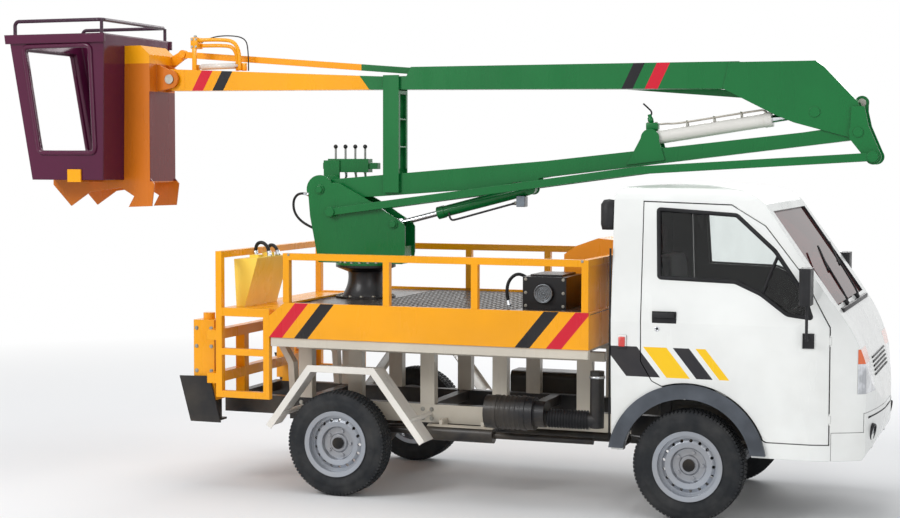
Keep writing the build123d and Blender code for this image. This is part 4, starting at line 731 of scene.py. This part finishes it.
# Pins and cylinder rods: ground steel pins with zinc plate that turn freely in their bores, and rods
# polished under hard chrome, with a film of oil.
dress(metal("zinc_pin_steel", srgb(168, 166, 158), 0.34), "link_pin", "bucket_pin")
dress(metal("hard_chrome", srgb(222, 224, 228), 0.12, (30, 30, 30)), "lift_rod", "luff_rod")

# Wheels: pressed steel rims in silver paint with a dark hub cap, and tyres with a grooved tread whose
# shoulder blocks are cut round the casing.
def growth(name, inputs):
    """A Geometry Nodes tree with its geometry sockets and named inputs, what it is given and its end."""
    grown = bpy.data.node_groups.new(name, "GeometryNodeTree")
    grown.interface.new_socket("Geometry", in_out="INPUT", socket_type="NodeSocketGeometry")
    for label, kind in inputs:
        grown.interface.new_socket(label, in_out="INPUT", socket_type="NodeSocket" + kind)
    grown.interface.new_socket("Geometry", in_out="OUTPUT", socket_type="NodeSocketGeometry")
    return grown, grown.nodes.new("NodeGroupInput").outputs, grown.nodes.new("NodeGroupOutput")


def step(grown, kind, **inputs):
    """One node of such a tree, its sockets joined or set by name or number: gives its first output."""
    made = grown.nodes.new(kind)
    for label, value in inputs.items():
        if label == "operation":
            made.operation = value
            continue
        socket = made.inputs[int(label[1:])] if label[1:].isdigit() else made.inputs[label.replace("_", " ")]
        if isinstance(value, bpy.types.NodeSocket):
            grown.links.new(value, socket)
        else:
            socket.default_value = value
    return made.outputs[0]


def reckon(grown, operation, *values):
    """A sum on numbers inside such a tree."""
    return step(grown, "ShaderNodeMath", operation=operation,
                **{f"_{place}": value for place, value in enumerate(values)})


def joined(grown, *shapes):
    """Several shapes as one inside such a tree."""
    made = grown.nodes.new("GeometryNodeJoinGeometry")
    for shape in shapes:
        grown.links.new(shape, made.inputs[0])
    return made.outputs[0]


def coat(grown, shape, given, result):
    """Ends such a tree: gives the shape its finish and hands it out."""
    coated = step(grown, "GeometryNodeSetMaterial", Geometry=shape, Material=given["Finish"])
    grown.links.new(coated, result.inputs[0])


def grow(name, mesh, tree, material, body, **values):
    """Runs such a tree on a mesh and keeps the result as a plain piece."""
    made = bpy.data.objects.new(name, mesh)
    scene.collection.objects.link(made)
    modifier = made.modifiers.new("grown", "NODES")
    modifier.node_group = tree
    for item in tree.interface.items_tree:
        if item.in_out == "INPUT" and item.name.replace(" ", "_") in values:
            modifier[item.identifier] = values[item.name.replace(" ", "_")]
        if item.in_out == "INPUT" and item.name == "Finish":
            modifier[item.identifier] = material
    bpy.context.view_layer.update()
    graph = bpy.context.evaluated_depsgraph_get()
    plain = bpy.data.meshes.new_from_object(made.evaluated_get(graph), depsgraph=graph)
    bpy.data.objects.remove(made)
    plain.name = name
    made = bpy.data.objects.new(name, plain)
    scene.collection.objects.link(made)
    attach(made, body)
    return made


tread_tree, given, result = growth("tyre_tread", (
    ("Blocks", "Int"), ("Radius", "Float"), ("Offset", "Float"), ("Block", "Vector"),
    ("Centre", "Vector"), ("Turn", "Float"), ("Finish", "Material")))
tread_line = step(tread_tree, "GeometryNodePoints", Count=given["Blocks"])
order = step(tread_tree, "GeometryNodeInputIndex")
pitch = reckon(tread_tree, "DIVIDE", 2 * pi, given["Blocks"])
angle = reckon(tread_tree, "ADD", reckon(tread_tree, "MULTIPLY", order, pitch), given["Turn"])
ring_x = reckon(tread_tree, "MULTIPLY", reckon(tread_tree, "COSINE", angle), given["Radius"])
ring_z = reckon(tread_tree, "MULTIPLY", reckon(tread_tree, "SINE", angle), given["Radius"])
spot = step(tread_tree, "ShaderNodeCombineXYZ", X=ring_x, Y=given["Offset"], Z=ring_z)
spot = step(tread_tree, "ShaderNodeVectorMath", operation="ADD", _0=spot, _1=given["Centre"])
tread_line = step(tread_tree, "GeometryNodeSetPosition", Geometry=tread_line, Position=spot)
block = step(tread_tree, "GeometryNodeMeshCube", Size=given["Block"])
facing = step(tread_tree, "ShaderNodeCombineXYZ", Y=reckon(tread_tree, "MULTIPLY", angle, -1.0))
laid = step(tread_tree, "GeometryNodeInstanceOnPoints", Points=tread_line, Instance=block,
            Rotation=step(tread_tree, "FunctionNodeEulerToRotation", Euler=facing))
solid = step(tread_tree, "GeometryNodeRealizeInstances", Geometry=laid)
coat(tread_tree, joined(tread_tree, given["Geometry"], solid), given, result)

tyre_black = Finish("tyre_rubber_compound", Specular_IOR_Level=0.25)
tyre_shade = tyre_black.mix(tyre_black.ramp(tyre_black.noise(9, 5), 0.4, 0.75), srgb(34, 36, 39),
                            srgb(58, 58, 58))
tyre_black.bump(tyre_black.noise(300, 3), 0.0006, 0.5)
tyre_rubber = tyre_black.done(tyre_shade, tyre_black.ramp(tyre_black.noise(20, 3), 0.3, 0.7, 0.6, 0.8))

TYRE_FLANK = [(62, 181), (74, 183), (76, 190), (70, 199), (78, 214), (81.5, 240), (81.5, 252), (80, 254),
              (79.5, 270), (75, 287), (69, 296), (64, 300), (43, 302), (41, 295), (35, 295), (33, 303),
              (4, 304), (3, 296)]
TYRE = [(-width, radius) for width, radius in TYRE_FLANK] + TYRE_FLANK[::-1]
WHEELS = (("front_right", WHEELBASE, -1), ("front_left", WHEELBASE, 1),
          ("rear_right", 0, -1), ("rear_left", 0, 1))
WHEEL_Y, WHEEL_Z = 637.5, 310
HUB_OUTER, HUB_INNER, CAP_RADIUS = 0.11, 0.075, 0.0345
TREAD_ROWS = ((-63, (0.012, 0.016, 0.014), 0.0, 0.2975), (63, (0.012, 0.016, 0.014), 0.04, 0.2975),
              (-48, (0.012, 0.012, 0.015), 0.0, 0.3025), (48, (0.012, 0.012, 0.015), 0.04, 0.3025),
              (-19, (0.012, 0.026, 0.015), 0.02, 0.3025), (19, (0.012, 0.026, 0.015), 0.06, 0.3025))


def rim_colours(paint, shade, x):
    """A duller disc round the hub and a dark cap over it, by distance from the wheel's centre."""
    squares = [paint.math("POWER", paint.math("ABSOLUTE", paint.math("SUBTRACT", value, middle)), 2)
               for value, middle in ((paint.x, x), (paint.z, WHEEL_Z / 1000))]
    radius = paint.math("SQRT", paint.math("ADD", *squares))
    shade = paint.mix(paint.ramp(radius, HUB_OUTER, HUB_INNER), shade, srgb(150, 152, 157))
    return paint.mix(paint.math("LESS_THAN", radius, CAP_RADIUS), shade, srgb(30, 30, 32))


for place, x, side in WHEELS:
    centre = Vector(at(x, side * WHEEL_Y, WHEEL_Z))
    casing = turned_mesh(f"casing_{place}", [(w / 1000, r / 1000) for w, r in TYRE], (0, 0, 0), (0, 1, 0), 96)
    shape = bmesh.new()
    shape.from_mesh(casing)
    bmesh.ops.delete(shape, geom=[face for face in shape.faces if len(face.verts) > 4], context="FACES")
    bmesh.ops.bridge_loops(shape, edges=[edge for edge in shape.edges if edge.is_boundary])
    bmesh.ops.recalc_face_normals(shape, faces=shape.faces)
    for face in shape.faces:
        face.smooth = True
    shape.transform(Matrix.Translation(centre))
    shape.to_mesh(casing)
    shape.free()
    for offset, size, turn, radius in TREAD_ROWS:
        made = grow(f"tyre_row_{place}", casing, tread_tree, tyre_rubber, f"wheel_{place}", Blocks=84,
                    Radius=radius, Offset=offset / 1000, Block=size, Centre=centre, Turn=turn)
        casing = made.data
        if (offset, size, turn, radius) != TREAD_ROWS[-1]:
            bpy.data.objects.remove(made)
    made.name = f"tyre_piece_{place}"
    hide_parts(f"tyre_{place}")
    dress(enamel(f"rim_silver_{place}", srgb(158, 163, 171),
                 lambda paint, shade, x=centre.x: rim_colours(paint, shade, x),
                 gloss=0.3, edge=0.003, wear=0.4, dust=0.2, Metallic=0.7), f"rim_{place}")

# Bolts: zinc plated steel with hexagon heads on round washers, screwed up wherever posts, brackets,
# sleeves, the pedestal and the slewing ring are bolted on.
bolt_tree, given, result = growth("bolt_heads", (
    ("Head", "Float"), ("Height", "Float"), ("Axis", "Vector"), ("Finish", "Material")))
hexagon = step(bolt_tree, "GeometryNodeMeshCylinder", Vertices=6, Radius=given["Head"], Depth=given["Height"])
washer = step(bolt_tree, "GeometryNodeMeshCylinder", Vertices=14,
              Radius=reckon(bolt_tree, "MULTIPLY", given["Head"], 1.35),
              Depth=reckon(bolt_tree, "MULTIPLY", given["Height"], 0.35))
aimed = step(bolt_tree, "FunctionNodeAlignRotationToVector", Vector=given["Axis"])
laid = step(bolt_tree, "GeometryNodeInstanceOnPoints", Points=given["Geometry"],
            Instance=joined(bolt_tree, hexagon, washer), Rotation=aimed)
coat(bolt_tree, step(bolt_tree, "GeometryNodeRealizeInstances", Geometry=laid), given, result)
zinc = metal("zinc_bolts", srgb(158, 156, 148), 0.38)


def bolts(name, spots, axis, head, body, finish=zinc):
    """A row of bolt heads at points given in millimetres from the rear axle."""
    mesh = bpy.data.meshes.new(name)
    mesh.from_pydata([at(*spot) for spot in spots], [], [])
    return grow(name, mesh, bolt_tree, finish, body, Head=head, Height=head * 1.3, Axis=axis)


TURRET_X, RING_RADIUS = -100, 168
for hand, side in (("right", -1), ("left", 1)):
    bolts(f"post_bolts_{hand}", [(x + dx, side * 366, z) for x in (-350, -20, 450, 905, 1420)
                                 for dx in (-28, 28) for z in (440, 495)], (0, side, 0), 0.010, "chassis")
    bolts(f"turret_pin_nuts_{hand}", [(-375, side * 92, 1798), (120, side * 92, 1589)], (0, side, 0), 0.023,
          "turret", boom_paint)
    bolts(f"sleeve_bolts_{hand}", [(x, side * 651, z) for x in (-945, -845) for z in (570, 700, 850, 960)],
          (0, side, 0), 0.009, "chassis")
    bolts(f"guard_bolts_{hand}", [(x, side * 746, 1425) for x in (-283, 1508)], (0, side, 0), 0.006,
          "chassis")
bolts("pedestal_bolts", [(TURRET_X + RING_RADIUS * cos(k * pi / 7), RING_RADIUS * sin(k * pi / 7), 1138)
                         for k in range(14)], (0, 0, 1), 0.010, "chassis")
turns = [k * pi / 10 + 0.16 for k in range(20)]
bolts("slew_ring_bolts", [(TURRET_X + RING_RADIUS * cos(turn), RING_RADIUS * sin(turn), 1346)
                          for turn in turns if abs(sin(turn)) > 0.62], (0, 0, 1), 0.010, "turret")
bolts("pack_bolts", [(x, -431, z) for x in (1083, 1309) for z in (1142, 1218, 1296)], (0, -1, 0), 0.007,
      "chassis")
bolts("rim_cap_screws", [(3058, y, 470) for y in (-480, 480)], (1, 0, 0), 0.007, "chassis")

# Tread plate on the deck: steel sheet with raised lozenge bars, rolled into it two ways in turn and
# worn bright on top.
lug_tree, given, result = growth("tread_bars", (
    ("Rows", "Int"), ("Columns", "Int"), ("Length", "Float"), ("Width", "Float"), ("Middle", "Vector"),
    ("Finish", "Material")))
grid = step(lug_tree, "GeometryNodeMeshGrid", Size_X=given["Length"], Size_Y=given["Width"],
            Vertices_X=given["Rows"], Vertices_Y=given["Columns"])
moved = step(lug_tree, "GeometryNodeTransform", Geometry=grid, Translation=given["Middle"])
odd = reckon(lug_tree, "MODULO", step(lug_tree, "GeometryNodeInputIndex"), 2.0)
quarter = reckon(lug_tree, "MULTIPLY_ADD", odd, pi / 2, pi / 4)
bar = step(lug_tree, "GeometryNodeMeshCylinder", Vertices=6, Radius=0.016, Depth=0.003)
thin = step(lug_tree, "GeometryNodeTransform", Geometry=bar, Scale=(1.0, 0.3, 1.0))
about = step(lug_tree, "ShaderNodeCombineXYZ", Z=quarter)
turned = step(lug_tree, "FunctionNodeEulerToRotation", Euler=about)
laid = step(lug_tree, "GeometryNodeInstanceOnPoints", Points=moved, Instance=thin, Rotation=turned)
coat(lug_tree, step(lug_tree, "GeometryNodeRealizeInstances", Geometry=laid), given, result)
worn_tread = metal("worn_tread_steel", srgb(96, 92, 88), 0.45)
grow("deck_tread_bars", bpy.data.meshes.new("bars"), lug_tree, worn_tread, "chassis", Rows=23, Columns=33,
     Length=0.89, Width=1.36, Middle=at(575, 0, 1127.4))

# Hydraulics on the booms: drawn steel pipes along the upper cylinder to a small lock valve with its
# lever, and two yellow pipes and a small white levelling cylinder on the boom's end.
def beside(start, end, along, off, y):
    """A point beside the line between two pins, by distance along it and square to it."""
    reach = hypot(end[0] - start[0], end[1] - start[1])
    ux, uz = (end[0] - start[0]) / reach, (end[1] - start[1]) / reach
    return at(start[0] + ux * along - uz * off, y, start[1] + uz * along + ux * off)


LUFF = ((1723, 2114), (2673, 2261))
VALVE_CAP = [(0, 0.017), (0.03, 0.017), (0.034, 0.012), (0.05, 0.012), (0.052, 0.0)]
UNION = [(0, 0.013), (0.016, 0.013), (0.018, 0.009), (0.03, 0.009), (0.03, 0.0)]
PLUG = [(-0.004, 0.011), (0.012, 0.011), (0.016, 0.008), (0.016, 0.0)]
LEVELLER = [(0, 0), (0, 0.012), (0.03, 0.012), (0.032, 0.019), (0.27, 0.019), (0.274, 0.009),
            (0.34, 0.009), (0.342, 0.0)]
pipe_steel = metal("pipe_steel", srgb(176, 170, 160), 0.3)
pipe_runs = [[beside(*LUFF, along, off, y) for along, off in
              ((60, 74), (90, 74), (150, 62), (400, 62), (640, 62), (676, 58), (684, 40))] for y in (-14, 14)]
link("upper_cylinder_pipes", pipe_mesh("pipes", pipe_runs, 0.005), pipe_steel, "luff_barrel")
link("lock_valve", slab_mesh("valve", at(1690, -26, 2164), at(1762, 26, 2206), 0.006), boom_paint,
     "luff_barrel")
link("lock_valve_cap", turned_mesh("cap", VALVE_CAP, at(1716, 0, 2205), (-0.2, 0, 1), 24), boom_paint,
     "luff_barrel")
lever = [at(x, 0, z) for x, z in ((1716, 2250), (1722, 2268), (1700, 2290), (1668, 2318))]
link("lock_valve_lever", pipe_mesh("lever", [lever], 0.005), black_rubber, "luff_barrel")
clips = [[beside(*LUFF, along, off, y) for off, y in ((36, -24), (66, -24), (72, 0), (66, 24), (36, 24))]
         for along in (220, 380, 540)]
link("pipe_clips", pipe_mesh("clips", clips, 0.004), zinc, "luff_barrel")
pipe_black = metal("pipe_black_steel", srgb(30, 30, 32), 0.4, metallic=0.3)
lift_run = [at(x, -42, z) for x, z in ((468, 1662), (472, 1636), (486, 1616), (512, 1620), (700, 1672),
                                       (846, 1712), (884, 1722))] + [at(904, -30, 1727)]
link("lift_cylinder_pipe", pipe_mesh("pipe", [lift_run], 0.0065), pipe_black, "lift_barrel")
link("lift_lock_valve", slab_mesh("valve", at(900, -46, 1702), at(954, 22, 1768), 0.005),
     enamel("valve_grey_paint", srgb(128, 138, 148), wear=0.3), "lift_barrel")
link("lift_valve_union", turned_mesh("union", UNION, at(902, -30, 1726), (-1, -0.1, -0.2), 6), zinc,
     "lift_barrel")
bolts("lock_valve_bolts", [(x, y, 2207) for x in (1704, 1748) for y in (-16, 16)], (0, 0, 1), 0.005,
      "luff_barrel")
end_runs = [[at(x, -20, z) for x, z in ((-1260, 2750), (-1200, 2751), (-1110, 2750), (-1010, 2742),
                                        (-972, 2690), (-962, 2620), (-962, 2552))],
            [at(x, 14, z) for x, z in ((-1260, 2716), (-1190, 2716), (-1110, 2715), (-1032, 2708),
                                       (-1002, 2660), (-996, 2610), (-996, 2552))]]
link("boom_end_pipes", pipe_mesh("end_pipes", end_runs, 0.0125), plain_yellow, "upper_boom")
for name, low, high, rounding in (("pipe_manifold", (-1308, -38, 2696), (-1256, 36, 2768), 0.005),
                                  ("pipe_post", (-1297, -38, 2548), (-1267, -24, 2700), 0.003)):
    link(name, slab_mesh(name, at(*low), at(*high), rounding), plain_yellow, "upper_boom")
link("manifold_plugs", turned_mesh("plug", PLUG, at(-1282, -16, 2767), (0, 0, 1), 24), zinc, "upper_boom")
bolts("manifold_bolts", [(x, -39, z) for x in (-1296, -1268) for z in (2708, 2756)], (0, -1, 0), 0.006,
      "upper_boom")
cable = [at(-1258, 28, 2740), at(-1200, 38, 2772), at(-1080, 40, 2782), at(-960, 40, 2766),
         at(-930, 40, 2700), at(-930, 38, 2552)]
link("boom_end_cable", pipe_mesh("cable", [cable], 0.004), black_rubber, "upper_boom")
link("levelling_cylinder", turned_mesh("cylinder", LEVELLER, at(-1276, 0, 2578), (1, 0, 0.02), 32),
     cylinder_white, "upper_boom")
for name, low, high in (("levelling_lugs", (-1290, -14, 2550), (-1262, 14, 2594)),
                        ("levelling_lug_front", (-954, -14, 2550), (-926, 14, 2600))):
    link(name, slab_mesh(name, at(*low), at(*high), 0.004), plain_yellow, "upper_boom")

# Hoses: black rubber hydraulic hose with two layers of steel wire inside, crimped into plated ferrules
# and hung in loose loops between their fittings.
hose_rubber = rubber_finish("hose_rubber", srgb(20, 20, 21), 0.5)


def hose(name, route, diameter, body):
    """A hose through control points in millimetres from the rear axle, with a ferrule at each end."""
    line = bpy.data.curves.new(name, "CURVE")
    line.dimensions = "3D"
    line.resolution_u = 8
    spline = line.splines.new("NURBS")
    spline.points.add(len(route) - 1)
    for point, place in zip(spline.points, route):
        point.co = (*at(*place), 1)
    spline.order_u = 3
    spline.use_endpoint_u = True
    made = bpy.data.objects.new(name, line)
    scene.collection.objects.link(made)
    bpy.context.view_layer.update()
    bare = bpy.data.meshes.new_from_object(made.evaluated_get(bpy.context.evaluated_depsgraph_get()))
    places = [spot.co.copy() for spot in bare.vertices]
    line.bevel_depth = diameter / 2
    line.bevel_resolution = 3
    line.use_fill_caps = True
    line.materials.append(hose_rubber)
    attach(made, body)
    sleeve = [(along, diameter / 2 * wide) for along, wide in
              ((-0.004, 1.5), (0.008, 1.5), (0.010, 1.22), (0.03, 1.22), (0.032, 1.02))]
    ends = [link(f"{name}_ferrule_{end}", turned_mesh("ferrule", sleeve, start, toward - start, 20),
                 plated, body)
            for end, (start, toward) in enumerate(((places[0], places[2]), (places[-1], places[-3])))]


hose("turret_rear_hose", ((-455, -84, 1766), (-510, -84, 1780), (-560, -82, 1740), (-562, -76, 1660),
                          (-520, -68, 1600), (-450, -62, 1560), (-393, -60, 1540)), 0.016, "turret")
for turn_no, (end_x, end_z) in enumerate(((-352, 1694), (-322, 1712), (-202, 1738), (-136, 1726))):
    x = -384 + 66 * turn_no
    hose(f"valve_hose_{turn_no}", ((x, 195, 1905), (x + 2, 196, 1880), ((x + end_x) / 2 - 8, 190, 1840),
         (end_x - 6, 160, end_z + 44), (end_x - 2, 118, end_z + 9), (end_x, 91, end_z)), 0.014, "turret")
hose("pump_hose", ((1066, -240, 1262), (1030, -250, 1300), (975, -270, 1318), (930, -290, 1270),
                   (925, -300, 1200), (940, -300, 1140), (942, -300, 1127)), 0.020, "chassis")
hose("tank_hose", ((-700, -330, 1389), (-704, -330, 1430), (-690, -330, 1468), (-650, -332, 1474),
                   (-612, -334, 1440), (-604, -335, 1389)), 0.022, "chassis")
hose("tank_return_hose", ((-690, -180, 1389), (-688, -185, 1424), (-668, -200, 1452), (-630, -215, 1448),
                          (-606, -220, 1420), (-602, -222, 1389)), 0.022, "chassis")

# Power pack: a pressed steel cover, with a round fan guard of zinc plated wire rings welded on spokes
# and screwed over the fan's opening.
FAN_X, FAN_Z = 1196, 1215
fan_runs = [[at(FAN_X + radius * cos(k * pi / 8), -455, FAN_Z + radius * sin(k * pi / 8)) for k in range(16)]
            for radius in (12, 24, 36, 47)]
guard_wire = metal("guard_wire", srgb(120, 124, 128), 0.35)
link("fan_guard_rings", pipe_mesh("rings", fan_runs, 0.0022, closed=True), guard_wire, "chassis")
spokes = [[at(FAN_X + reach * cos(k * pi / 4), -453, FAN_Z + reach * sin(k * pi / 4))
           for reach in (-49, 0, 49)] for k in range(4)]
link("fan_guard_spokes", pipe_mesh("spokes", spokes, 0.0025, order=2), guard_wire, "chassis")
FAN_RIM = [(0, 0.040), (0, 0.056), (0.006, 0.056), (0.008, 0.053), (0.008, 0.049), (0.002, 0.048),
           (0.002, 0.040)]
link("fan_rim", turned_mesh("fan_rim", FAN_RIM, at(FAN_X, -451.5, FAN_Z), (0, -1, 0)), guard_wire, "chassis")

# Air intake: a black pressed canister with rolled ribs, a moulded rubber bellows from it to the upright
# pipe, and a plated band clip on the pipe.
FOLD_PITCH, RIB_PITCH = 0.017, 0.03
bellows = [(0, 0.04)]
for fold in range(14):
    bellows += [(along + fold * FOLD_PITCH, radius) for along, radius in
                ((0.006, 0.044), (0.010, 0.054), (0.014, 0.054), (0.018, 0.044))]
link("intake_bellows", turned_mesh("bellows", bellows + [(0.25, 0.04)], at(1272, -600, 520), (1, 0, 0), 32),
     black_rubber, "chassis")
canister = []
for rib in range(5):
    canister += [(rib * RIB_PITCH + along, radius) for along, radius in
                 ((0, 0.0945), (0.006, 0.0985), (0.012, 0.0985), (0.018, 0.0945))]
link("intake_ribs", turned_mesh("ribs", canister, at(996, -600, 540), (1, 0, 0)), chassis_paint, "chassis")
link("intake_clips", turned_mesh("clips", [(0, 0.041), (0, 0.0455), (0.014, 0.0455), (0.014, 0.041)],
     at(1560, -600, 760), (0, 0, 1), 40), plated, "chassis")

# Cab front and back: moulded black wipers and cowl below the windscreen, a black strip in the nose as
# painted shade for a slot, a slatted air inlet in the nose, fog lamps in the bumper, red lamps on the rear
# platform's beam, and a lamp high on the cab's back.
pressings = [BVHTree.FromObject(nodes[name], bpy.context.evaluated_depsgraph_get())
             for name in ("cab_shell", "front_bumper")]


def nose(y, z, out=0.0):
    """A point on the cab's front, found on the pressed steel itself and moved outward."""
    ahead, backward = Vector((4, y / 1000, z / 1000)), Vector((-1, 0, 0))
    hits = [pressing.ray_cast(ahead, backward)[0] for pressing in pressings]
    return Vector((max(hit.x for hit in hits if hit) + out / 1000, y / 1000, z / 1000))


WIPER_PIVOT = [(-0.01, 0.016), (0.012, 0.016), (0.018, 0.011), (0.018, 0)]
for hand, y in (("right", -330), ("left", 170)):
    arm = [Vector(at(x, y + across, z)) + Vector((0.010, 0, 0.008)) for x, across, z in
           ((2893, 0, 1212), (2880, 6, 1240), (2800, 60, 1356), (2752, 90, 1424))]
    link(f"wiper_arm_{hand}", pipe_mesh("arm", [arm], 0.0055), cabin_black, "chassis")
    blade = [Vector(at(x, y + across, z)) + Vector(clear) for x, across, z, clear in
             ((2786, 10, 1376, (0.009, 0, 0.007)), (2752, 90, 1424, (0.011, 0, 0.009)),
              (2700, 215, 1497, (0.009, 0, 0.007)))]
    link(f"wiper_blade_{hand}", pipe_mesh("blade", [blade], 0.006), black_rubber, "chassis")
    link(f"wiper_pivot_{hand}", turned_mesh("pivot", WIPER_PIVOT, at(2893, y, 1206), (0.82, 0, 0.57), 24),
         cabin_black, "chassis")
link("windscreen_cowl", slab_mesh("cowl", at(2884, -572, 1170), at(2916, 572, 1196), 0.007), cabin_black,
     "chassis")
# Painted shade: a black rubber strip laid across the nose stands in for the shade inside the slot.
slot = [nose(y, 612, -3) for y in (-560, -420, -200, 0, 200, 420, 560)]
link("nose_slot", pipe_mesh("slot", [slot], 0.007), black_rubber, "chassis")
slats = [[nose(y, z) for y in (-310, -150, 0, 150, 310)] for z in (815, 838, 861, 884, 907)]
link("air_inlet_slats", pipe_mesh("slats", slats, 0.006), cabin_black, "chassis")
fog_glass = Finish("fog_lens", Roughness=0.1, Coat_Weight=1.0)
fog_glass.bump(fog_glass.math("SINE", fog_glass.math("MULTIPLY", fog_glass.y, 700.0)), 0.001, 0.4)
fog_lens = fog_glass.done(fog_glass.mix(fog_glass.noise(20, 2), srgb(170, 172, 176), srgb(214, 216, 220)))
FOG_RIM = [(-0.03, 0.050), (0.002, 0.050), (0.006, 0.046), (0.006, 0.038), (-0.004, 0.036), (-0.03, 0.036)]
FOG_LENS = [(-0.028, 0.0), (-0.028, 0.0365), (-0.004, 0.0365), (0.0, 0.024), (0.001, 0.0)]
for hand, side in (("right", -1), ("left", 1)):
    for name, outline, finish in ((f"fog_lamp_rim_{hand}", FOG_RIM, cabin_black),
                                  (f"fog_lamp_{hand}", FOG_LENS, fog_lens)):
        link(name, turned_mesh(name, outline, nose(side * 480, 520, 2), (1, side * 0.15, -0.22), 40), finish,
             "chassis")
    link(f"rear_lamp_{hand}", side_block("rear_lamp", side, (-838, -824.5), (380, 490), (646, 694), 0.005),
         red_lamp, "chassis")
BACK_LAMP = [(0, 0), (0, 0.038), (0.03, 0.046), (0.14, 0.046), (0.165, 0.03), (0.17, 0)]
link("cab_back_lamp", turned_mesh("back_lamp", BACK_LAMP, at(1632, -640, 1600), (0, 0, 1), 32), cabin_black,
     "chassis")
link("cab_back_lamp_foot", slab_mesh("foot", at(1640, -655, 1640), at(1672, -625, 1720), 0.004),
     cabin_black, "chassis")
strips = [[at(1661, y, z) for z in (440, 900, 1500)] for y in (-716, 716)]
link("cab_back_strip", pipe_mesh("strip", strips, 0.006), black_rubber, "chassis")

# Welds: beads laid by hand and painted over, along the turret's plates, the cylinder's bracket on the
# lower boom and the gusset on the upper one.
bead = metal("painted_weld", BOOM_GREEN, 0.4, (1, 1, 1), 0.0)
weld_runs = {"turret": (91.5, [(-380, 1346), (-200, 1346), (0, 1346), (180, 1346)]),
             "lower_boom": (51, [(1640, 2040), (1720, 2049), (1800, 2058)]),
             "upper_boom": (57, [(2181, 2400), (2181, 2470), (2181, 2545)])}
for body, (y, seam) in weld_runs.items():
    runs = [[at(x, side * y, z) for x, z in seam] for side in (-1, 1)]
    link(f"welds_{body}", pipe_mesh("bead", runs, 0.0045), bead, body)
